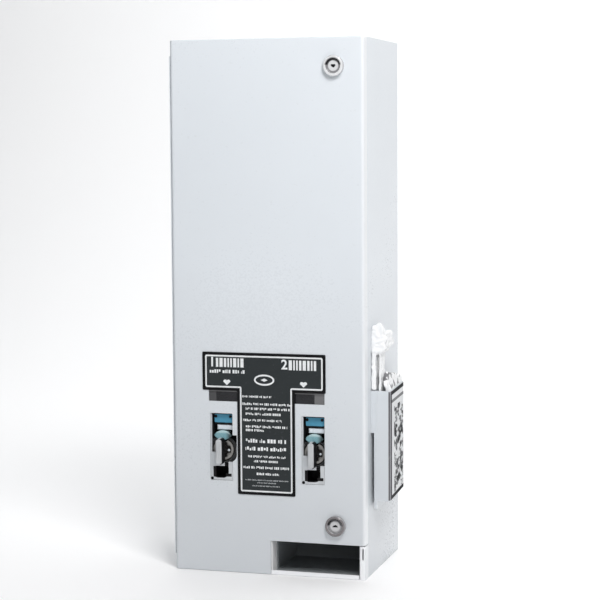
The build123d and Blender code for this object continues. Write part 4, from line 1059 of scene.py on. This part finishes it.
@dataclass
class InstructionPrint(Dressing):
    """White print on the black T: a border, numbers, a ring, two marks and rows of plain bars.

    A row of bars is its middle height, left and right end and bar height, in millimetres.
    """

    thickness: float = 0.05 * MM
    inset: float = 4.7 * MM
    line: float = 2.1 * MM
    corner: float = 1.2 * MM
    ring: Spot = (27.0 * MM, 14.2 * MM)
    ring_line: float = 2.2 * MM
    ring_middle: Spot = (-4.2 * MM, 250.6 * MM)
    lozenge: Spot = (4.75 * MM, 2.1 * MM)
    lozenge_outline: tuple[Spot, ...] = ((0.0, -1.0), (1.0, 0.0), (0.0, 1.0), (-1.0, 0.0))
    mark: Spot = (4.8 * MM, 3.6 * MM)
    mark_outline: tuple[Spot, ...] = (
        (0.0, -1.0), (1.0, 0.25), (0.86, 0.78), (0.45, 1.0),
        (0.0, 0.72), (-0.45, 1.0), (-0.86, 0.78), (-1.0, 0.25),
    )
    mark_places: tuple[Spot, ...] = ((-54.1 * MM, 246.3 * MM), (47.7 * MM, 246.3 * MM))
    numbers: tuple[tuple[str, float, float], ...] = (
        ("1", -73.6 * MM, 271.6 * MM), ("2", 22.6 * MM, 270.6 * MM),
    )
    number_size: float = 17.0 * MM
    rows: tuple[tuple[float, float, float, float], ...] = (
        (271.6, -68.5, -31.0, 11.5), (260.2, -77.0, -30.8, 4.4), (270.6, 28.5, 68.0, 12.5),
        (229.0, -33.4, 5.2, 2.8), (219.6, -33.4, 29.7, 3.0), (213.5, -29.2, 28.3, 3.0),
        (206.8, -29.2, 17.1, 3.0), (198.7, -32.7, 19.9, 3.0), (190.6, -29.2, 26.9, 3.0),
        (185.9, -29.2, -5.3, 3.0), (172.4, -29.2, 24.1, 4.9), (162.2, -29.9, 25.5, 4.9),
        (152.1, -26.4, 24.1, 2.8), (146.1, -18.7, 15.0, 2.8), (138.0, -32.7, 27.6, 3.2),
        (129.9, -15.2, 15.7, 3.0), (121.8, -30.6, 27.6, 1.5), (118.4, -14.5, 10.8, 1.5),
        (114.3, -20.8, 15.7, 1.5),
    )
    fine_height: float = 2.0
    bold_height: float = 10.0
    bold_widths: Point = (2.1, 3.1, 4.2)
    bold_gap: float = 1.7
    width_shares: tuple[float, ...] = (0.22, 0.42, 0.52, 0.62)
    height_shares: tuple[float, ...] = (0.62, 0.8, 1.0, 1.0)
    gap_share: float = 0.2
    space_share: float = 0.45
    end_share: float = 0.3
    first_word: tuple[int, int] = (3, 6)
    word: tuple[int, int] = (2, 7)
    seed: int = 4

    def build(self, rail: Rail) -> None:
        """Makes the print on the plate's face.

        Args:
            rail: tree that lays lines.
        """
        low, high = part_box("instruction_plate")
        left, right, top = low.x + self.inset, high.x - self.inset, high.z - self.inset
        bottom, arm = low.z + self.inset, ARM_BOTTOM + self.inset
        stem_left, stem_right = STEM[0] + self.inset, STEM[1] - self.inset
        border = (
            (left, top), (right, top), (right, arm), (stem_right, arm),
            (stem_right, bottom), (stem_left, bottom), (stem_left, arm), (left, arm),
        )
        line = [(x, low.y - self.thickness / 2, z) for x, z in border]
        sizes = {"Width": self.thickness, "Height": self.line, "Corner": self.corner}
        fit(rail.lay("plate_border", line, sizes, WHITE_PRINT), "door", WHITE_PRINT)
        self.signs(low.y)
        self.bars(low.y)
        for text, x, z in self.numbers:
            fit(numeral(text, self.number_size, self.thickness, (x, low.y, z)), "door", WHITE_PRINT)

    def signs(self, face: float) -> None:
        """Sets the plain ring with its lozenge over the stem, and a mark over each mechanism.

        Args:
            face: Y of the plate's face.
        """
        middle = (self.ring_middle,)
        signs = (
            ("plate_ring", hoop(self.ring, self.ring_line, self.thickness), middle),
            ("plate_lozenge", tile(self.lozenge_outline, self.thickness, self.lozenge), middle),
            ("plate_marks", tile(self.mark_outline, self.thickness, self.mark), self.mark_places),
        )
        for name, pattern, spots in signs:
            self.scatter.spread(name, pattern, [(x, face, z) for x, z in spots], WHITE_PRINT, "door")

    def bars(self, face: float) -> None:
        """Sets rows of plain short bars in place of the instructions' lines.

        Args:
            face: Y of the plate's face.
        """
        draw = random.Random(self.seed)
        large: list[tuple[Point, Point]] = []
        fine: list[tuple[Point, Point]] = []
        for level, left, right, height in self.rows:
            bold = height > self.bold_height
            x = left
            until_space = draw.randint(*self.first_word)
            while x < right - self.end_share * height:
                width = draw.choice(self.bold_widths) if bold else height * draw.choice(self.width_shares)
                tall = height * (1.0 if bold else draw.choice(self.height_shares))
                lift = draw.choice((-1, 0, 1)) * (height - tall) / 2
                place = ((x + width / 2) * MM, face, (level + lift) * MM)
                group = large if height > self.fine_height else fine
                group.append((place, (width * MM, tall * MM, 1.0)))
                x += width + (self.bold_gap if bold else self.gap_share * height)
                until_space -= 1
                if until_space == 0 and not bold:
                    x += self.space_share * height
                    until_space = draw.randint(*self.word)
        groups = (("plate_bold_bars", large, WHITE_PRINT), ("plate_fine_bars", fine, GREY_PRINT))
        for name, group, finish in groups:
            places, sizes = zip(*group)
            self.scatter.spread(name, tile(SQUARE, self.thickness), places, finish, "door", sizes=sizes)


@dataclass
class Mechanisms(Dressing):
    """Small pieces of both coin mechanisms.

    A head is its radius and height, and a strip of painted shade beside a return cup is its left,
    right, low and high end, in millimetres, the first two from the knob's axis.
    """

    screw: Spot = (1.9 * MM, 1.0 * MM)
    stud: Spot = (1.6 * MM, 1.2 * MM)
    plate_insets: Point = (1.8 * MM, 2.6 * MM, 2.9 * MM)
    front_inset: float = 1.8 * MM
    wheel_face: float = -84.0 * MM
    # a stud on the wheel, white so that it paints the wheel's glint
    wheel_glint_spot: Spot = (7.4 * MM, -0.8 * MM)
    # a dark sleeve of painted shade on the grip's right flank
    sleeve_gap: float = 0.2 * MM
    sleeve_bare: float = 1.1 * MM
    sleeve_start: float = 0.3
    # painted shade: dark strips beside the cup's opening and under its lip
    edges: tuple[tuple[float, ...], ...] = ((-11.2, -7.6, 123.4, 137.2), (5.5, 13.2, 124.2, 128.2))
    shade_thickness: float = 0.1 * MM
    most_turn: float = 3.0
    seed: int = 7

    def build(self) -> None:
        """Makes the screws, the wheels' white studs that paint a glint, the knobs' sleeves of painted shade
        and the strips of painted shade by the return cups.
        """
        draw = random.Random(self.seed)
        left, right, top = self.plate_insets
        places: list[Point] = []
        for side in SIDES:
            low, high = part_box(f"price_plate_{side}")
            places += [(x, low.y, high.z - top) for x in (low.x + left, high.x - right)]
            low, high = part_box(f"mech_front_{side}")
            places.append((low.x + self.front_inset, low.y, low.z + self.front_inset))
            x, z = center_of(f"knob_shaft_{side}")
            spots = [(x + self.wheel_glint_spot[0], self.wheel_face, z + self.wheel_glint_spot[1])]
            stud = pan_head(*self.stud)
            self.scatter.spread(f"wheel_stud_{side}", stud, spots, SLOT_WHITE, f"knob_{side}", "slot_white")
            self.shade_sleeve(side)
            self.cup_shade_strips(side, x, low.y)
        turns = [(math.pi / 2, draw.uniform(0.0, self.most_turn), 0.0) for _ in places]
        head = pan_head(*self.screw, cross=True)
        name, body, slot = "price_screw_heads", "cabinet", "screw_dark"
        made = self.scatter.spread(name, head, places, BLACKENED, body, slot, turns)
        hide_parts("price_screws")

    def shade_sleeve(self, side: str) -> None:
        """Covers the right flank of a knob's grip with a dark sleeve of painted shade, and leaves the light
        front bare.

        Args:
            side: which mechanism.
        """
        node, name = f"knob_grip_{side}", f"grip_sleeve_{side}"
        low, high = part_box(node)
        middle_x, middle_z = center_of(node)
        half_x, half_z = high.x - middle_x, high.z - middle_z
        flat = [(v.co.x, v.co.z) for v in frame["nodes"][node].data.vertices]
        hull = {flat[i] for i in geometry.convex_hull_2d(flat)}
        start = middle_x + self.sleeve_start * half_x
        rim = sorted((spot for spot in hull if spot[0] > start), key=lambda spot: spot[1])
        back, front = high.y, low.y + self.sleeve_bare
        points = []
        for y, grow in ((back, 1), (front, 1), (front, -1), (back, -1)):
            wide, tall = 1 + grow * self.sleeve_gap / half_x, 1 + grow * self.sleeve_gap / half_z
            points += [
                (middle_x + (x - middle_x) * wide, y, middle_z + (z - middle_z) * tall) for x, z in rim
            ]
        rows = rows_of(4, len(rim))
        faces = [tuple(row[end] for row in rows) for end in (0, -1)]
        for first, second in zip(rows, (*rows[1:], rows[0])):
            faces += quads(first, second, closed=False)
        made = mesh_object(name, points, faces)
        reshape(made, lambda work: bmesh.ops.recalc_face_normals(work, faces=work.faces))
        smooth(made, CRISP_ANGLE)
        fit(made, f"knob_{side}", BLACKENED)

    def cup_shade_strips(self, side: str, axis: float, face: float) -> None:
        """Lays dark strips of painted shade beside the opening of a return cup.

        Args:
            side: which mechanism.
            axis: X of the knob's axis.
            face: Y of the casting's face.
        """
        places = [
            (axis + (x + end) / 2 * MM, face, (low + high) / 2 * MM) for x, end, low, high in self.edges
        ]
        sizes = [((end - x) * MM, (high - low) * MM, 1.0) for x, end, low, high in self.edges]
        name, strip = f"cup_edges_{side}", tile(SQUARE, self.shade_thickness)
        self.scatter.spread(name, strip, places, CAST_ZINC, "cabinet", "cast_zinc", sizes=sizes)


@dataclass
class Locks(Dressing):
    """Dark tiles of painted shade over the keyways of the plugs. Their outlines are in millimetres before
    scaling.
    """

    thickness: float = 0.12 * MM
    size: Spot = (1.12 * MM, 1.12 * MM)
    upper: tuple[Spot, ...] = ((-2.5, 0.4), (-0.8, -1.5), (0.8, -2.1), (2.5, 0.1), (2.3, 1.7), (-2.6, 1.6))
    lower: tuple[Spot, ...] = (
        (-3.7, -0.9), (3.1, -0.9), (2.5, 0.2), (1.5, 1.2), (0.2, 1.8), (-1.4, 0.9), (-2.4, 0.0),
    )

    def build(self) -> None:
        """Sets a dark tile of painted shade over the keyway on the face of each plug."""
        for place, outline in (("upper", self.upper), ("lower", self.lower)):
            x, z = center_of(f"lock_plug_{place}")
            spots = [(x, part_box(f"lock_plug_{place}")[0].y, z)]
            # painted shade: a dark tile over the key slot
            keyway = tile(outline, self.thickness, self.size)
            self.scatter.spread(f"keyway_{place}", keyway, spots, BLACKENED, f"lock_{place}", "screw_dark")


@dataclass
class Fasteners(Dressing):
    """Rivets of the hinge and screws of the holder. A head is its radius and height."""

    rivet: Spot = (2.3 * MM, 0.9 * MM)
    rivets: int = 12
    rivet_share: float = 0.36
    seam: float = -76.0 * MM
    leaf_face: float = -128.0 * MM
    screw: Spot = (3.0 * MM, 1.4 * MM)

    def build(self) -> None:
        """Makes the rivets on both hinge leaves and the holder's screws."""
        for body in ("cabinet", "door"):
            low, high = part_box(f"hinge_leaf_{body}")
            far = high.y if body == "cabinet" else low.y
            y = far + (self.seam - far) * self.rivet_share
            step = (high.z - low.z) / self.rivets
            places = [(self.leaf_face, y, low.z + step * (i + 0.5)) for i in range(self.rivets)]
            name, rivet = f"rivets_{body}", pan_head(*self.rivet)
            self.scatter.spread(name, rivet, places, WHITE_ENAMEL, body, "white_enamel", Facing.LEFT)
        radius, height = self.screw
        low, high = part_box("holder_screws")
        ends, levels = (low.y + radius, high.y - radius), (low.z + radius, high.z - radius)
        places = [(high.x - height, y, z) for y in ends for z in levels]
        name, head = "holder_screw_heads", pan_head(radius, height, cross=True)
        made = self.scatter.spread(name, head, places, STEEL, "cabinet", "steel", Facing.RIGHT)
        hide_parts("holder_screws")


@dataclass
class FilmBundle:
    """A bundle of folded film bags, grown from its plain solid."""

    node: str
    seed: float
    film: Finish
    voxel: float = 1.0 * MM
    rim: float = 237.0 * MM
    loosening: Spot = (1.0 * MM, 6.0 * MM)
    still: float = 0.12 * MM
    loose: float = 0.9 * MM
    coarse: Spot = (0.65, 55.0)
    fine: Spot = (0.35, 150.0)
    crease_depth: float = 2.2
    sink: float = 0.5
    merge: float = 0.001 * MM
    softness: float = 0.5
    soft_steps: int = 3

    def build(self) -> None:
        """Rounds the solid off, crumples its skin and puts it in the solid's place."""
        made = new_object(f"{self.node}_film", frame["nodes"][self.node].data.copy())
        reshape(made, lambda work: bmesh.ops.remove_doubles(work, verts=work.verts, dist=self.merge))
        remesh = made.modifiers.new("remesh", "REMESH")
        remesh.mode = "VOXEL"
        remesh.voxel_size = self.voxel
        soften = made.modifiers.new("soften", "SMOOTH")
        soften.factor = self.softness
        soften.iterations = self.soft_steps
        settle(made)
        for vertex, normal in zip(made.data.vertices, [v.normal.copy() for v in made.data.vertices]):
            vertex.co = self.shape(vertex.co.copy(), normal)
        made.data.update()
        smooth(made, SOFT_ANGLE)
        fit(made, "cabinet", self.film)
        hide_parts(self.node)

    def crease(self, place: Vector, scale: float) -> float:
        """Gives the height of sharp folds at a place, from -1.2 to 1."""
        level = abs(noise.noise(place * scale + Vector((self.seed, 0.0, 0.0))))
        return 1.0 - self.crease_depth * level

    def shape(self, place: Vector, normal: Vector) -> Vector:
        """Gives the new place of a point of the skin.

        Args:
            place: the point.
            normal: the skin's normal there.

        Returns:
            The new place.
        """
        freedom = share_of((place.z - self.rim - self.loosening[0]) / self.loosening[1])
        reach = self.still + (self.loose - self.still) * freedom
        folds = [share * self.crease(place, scale) for share, scale in (self.coarse, self.fine)]
        return place + normal * (folds[0] + folds[1] - self.sink) * reach


@dataclass
class OuterBundle(FilmBundle):
    """The low bundle behind the label, whose printed bag tops lean to the wall."""

    lean: float = 5.5 * MM
    lean_back: float = 20.0 * MM
    lean_length: float = 60.0 * MM
    wave: Spot = (2.0 * MM, 60.0)

    def shape(self, place: Vector, normal: Vector) -> Vector:
        """Gives the new place of a point: the tops lean to the wall and wave along their edge."""
        moved = super().shape(place, normal)
        top = share_of((place.z - self.rim) / (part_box(self.node)[1].z - self.rim))
        front = share_of((self.lean_back - place.y) / self.lean_length)
        height, scale = self.wave
        moved.x -= self.lean * math.sin(math.pi / 2 * top) * front
        moved.z += height * top * noise.noise(place * scale + Vector((0.0, self.seed, 0.0)))
        return moved


@dataclass
class InnerBundle(FilmBundle):
    """The tall bundle over the back plate: a narrow waist and a crumpled crown that falls back."""

    loose: float = 1.4 * MM
    waist: float = 285.0 * MM
    fall: float = 21.0 * MM
    fall_shares: Spot = (0.55, 1.5)
    spread: float = 5.0 * MM
    spread_shares: Spot = (0.5, 1.6)
    swell_start: float = 0.12
    swell_power: float = 0.7
    tuft_offset: float = 3.0
    tuft_scale: float = 95.0
    tuft_level: float = 0.22
    tuft_height: float = 8.0 * MM
    slope: float = 8.0 * MM
    ripple: Spot = (3.0 * MM, 120.0)
    ripple_offset: float = 7.0
    wrinkle: Spot = (0.8 * MM, 210.0)

    def shape(self, place: Vector, normal: Vector) -> Vector:
        """Gives the new place of a point: the crown is fuller and falls back, the waist is narrow."""
        moved = super().shape(place, normal)
        low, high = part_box(self.node)
        if place.z > self.waist:
            rise = share_of((place.z - self.waist) / (high.z - self.waist))
            share = min(1.0, self.swell_start + (1.0 - self.swell_start) * rise)
            swell = math.sin(math.pi * share) ** self.swell_power
            back = (place.y - low.y) / (high.y - low.y)
            out = (place.x - low.x) / (high.x - low.x)
            height, scale = self.ripple
            tuft = abs(noise.noise(place * self.tuft_scale + Vector((0.0, self.seed, self.tuft_offset))))
            ripple = noise.noise(place * scale + Vector((self.seed, 0.0, self.ripple_offset)))
            least, gain = self.spread_shares
            moved.x += self.spread * swell * out * (least + gain * tuft)
            least, gain = self.fall_shares
            moved.y += self.fall * swell * back * back * (least + gain * tuft)
            moved.z += self.tuft_height * rise * (tuft - self.tuft_level)
            moved.z -= self.slope * rise * back
            moved.y += height * swell * ripple
            height, scale = self.wrinkle
            moved += normal * height * swell * self.crease(place, scale)
        return moved


def paint_cad() -> None:
    """Gives every CAD node the finish of its slot."""
    finishes = finish_of_slots()
    slots = {row["node"]: row["material_slot"] for row in frame["record"]["subparts"]}
    for name, made in frame["nodes"].items():
        finish = finishes[slots[name]]
        for place in made.material_slots:
            place.material = finish.material()
        log.info("node %s is finished in %s", name, finish.name)


def main() -> None:
    """Dresses the machine."""
    logging.basicConfig(level=logging.INFO, format="%(message)s")
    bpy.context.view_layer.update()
    scatter = Scatter()
    View().build()
    Studio().build()
    paint_cad()
    InstructionPrint(scatter).build(Rail())
    Mechanisms(scatter).build()
    Locks(scatter).build()
    Fasteners(scatter).build()
    OuterBundle("bag_bundle_outer", 11, PRINTED_FILM).build()
    InnerBundle("bag_bundle_inner", 23, BAG_FILM).build()


if __name__ == "__main__":
    main()
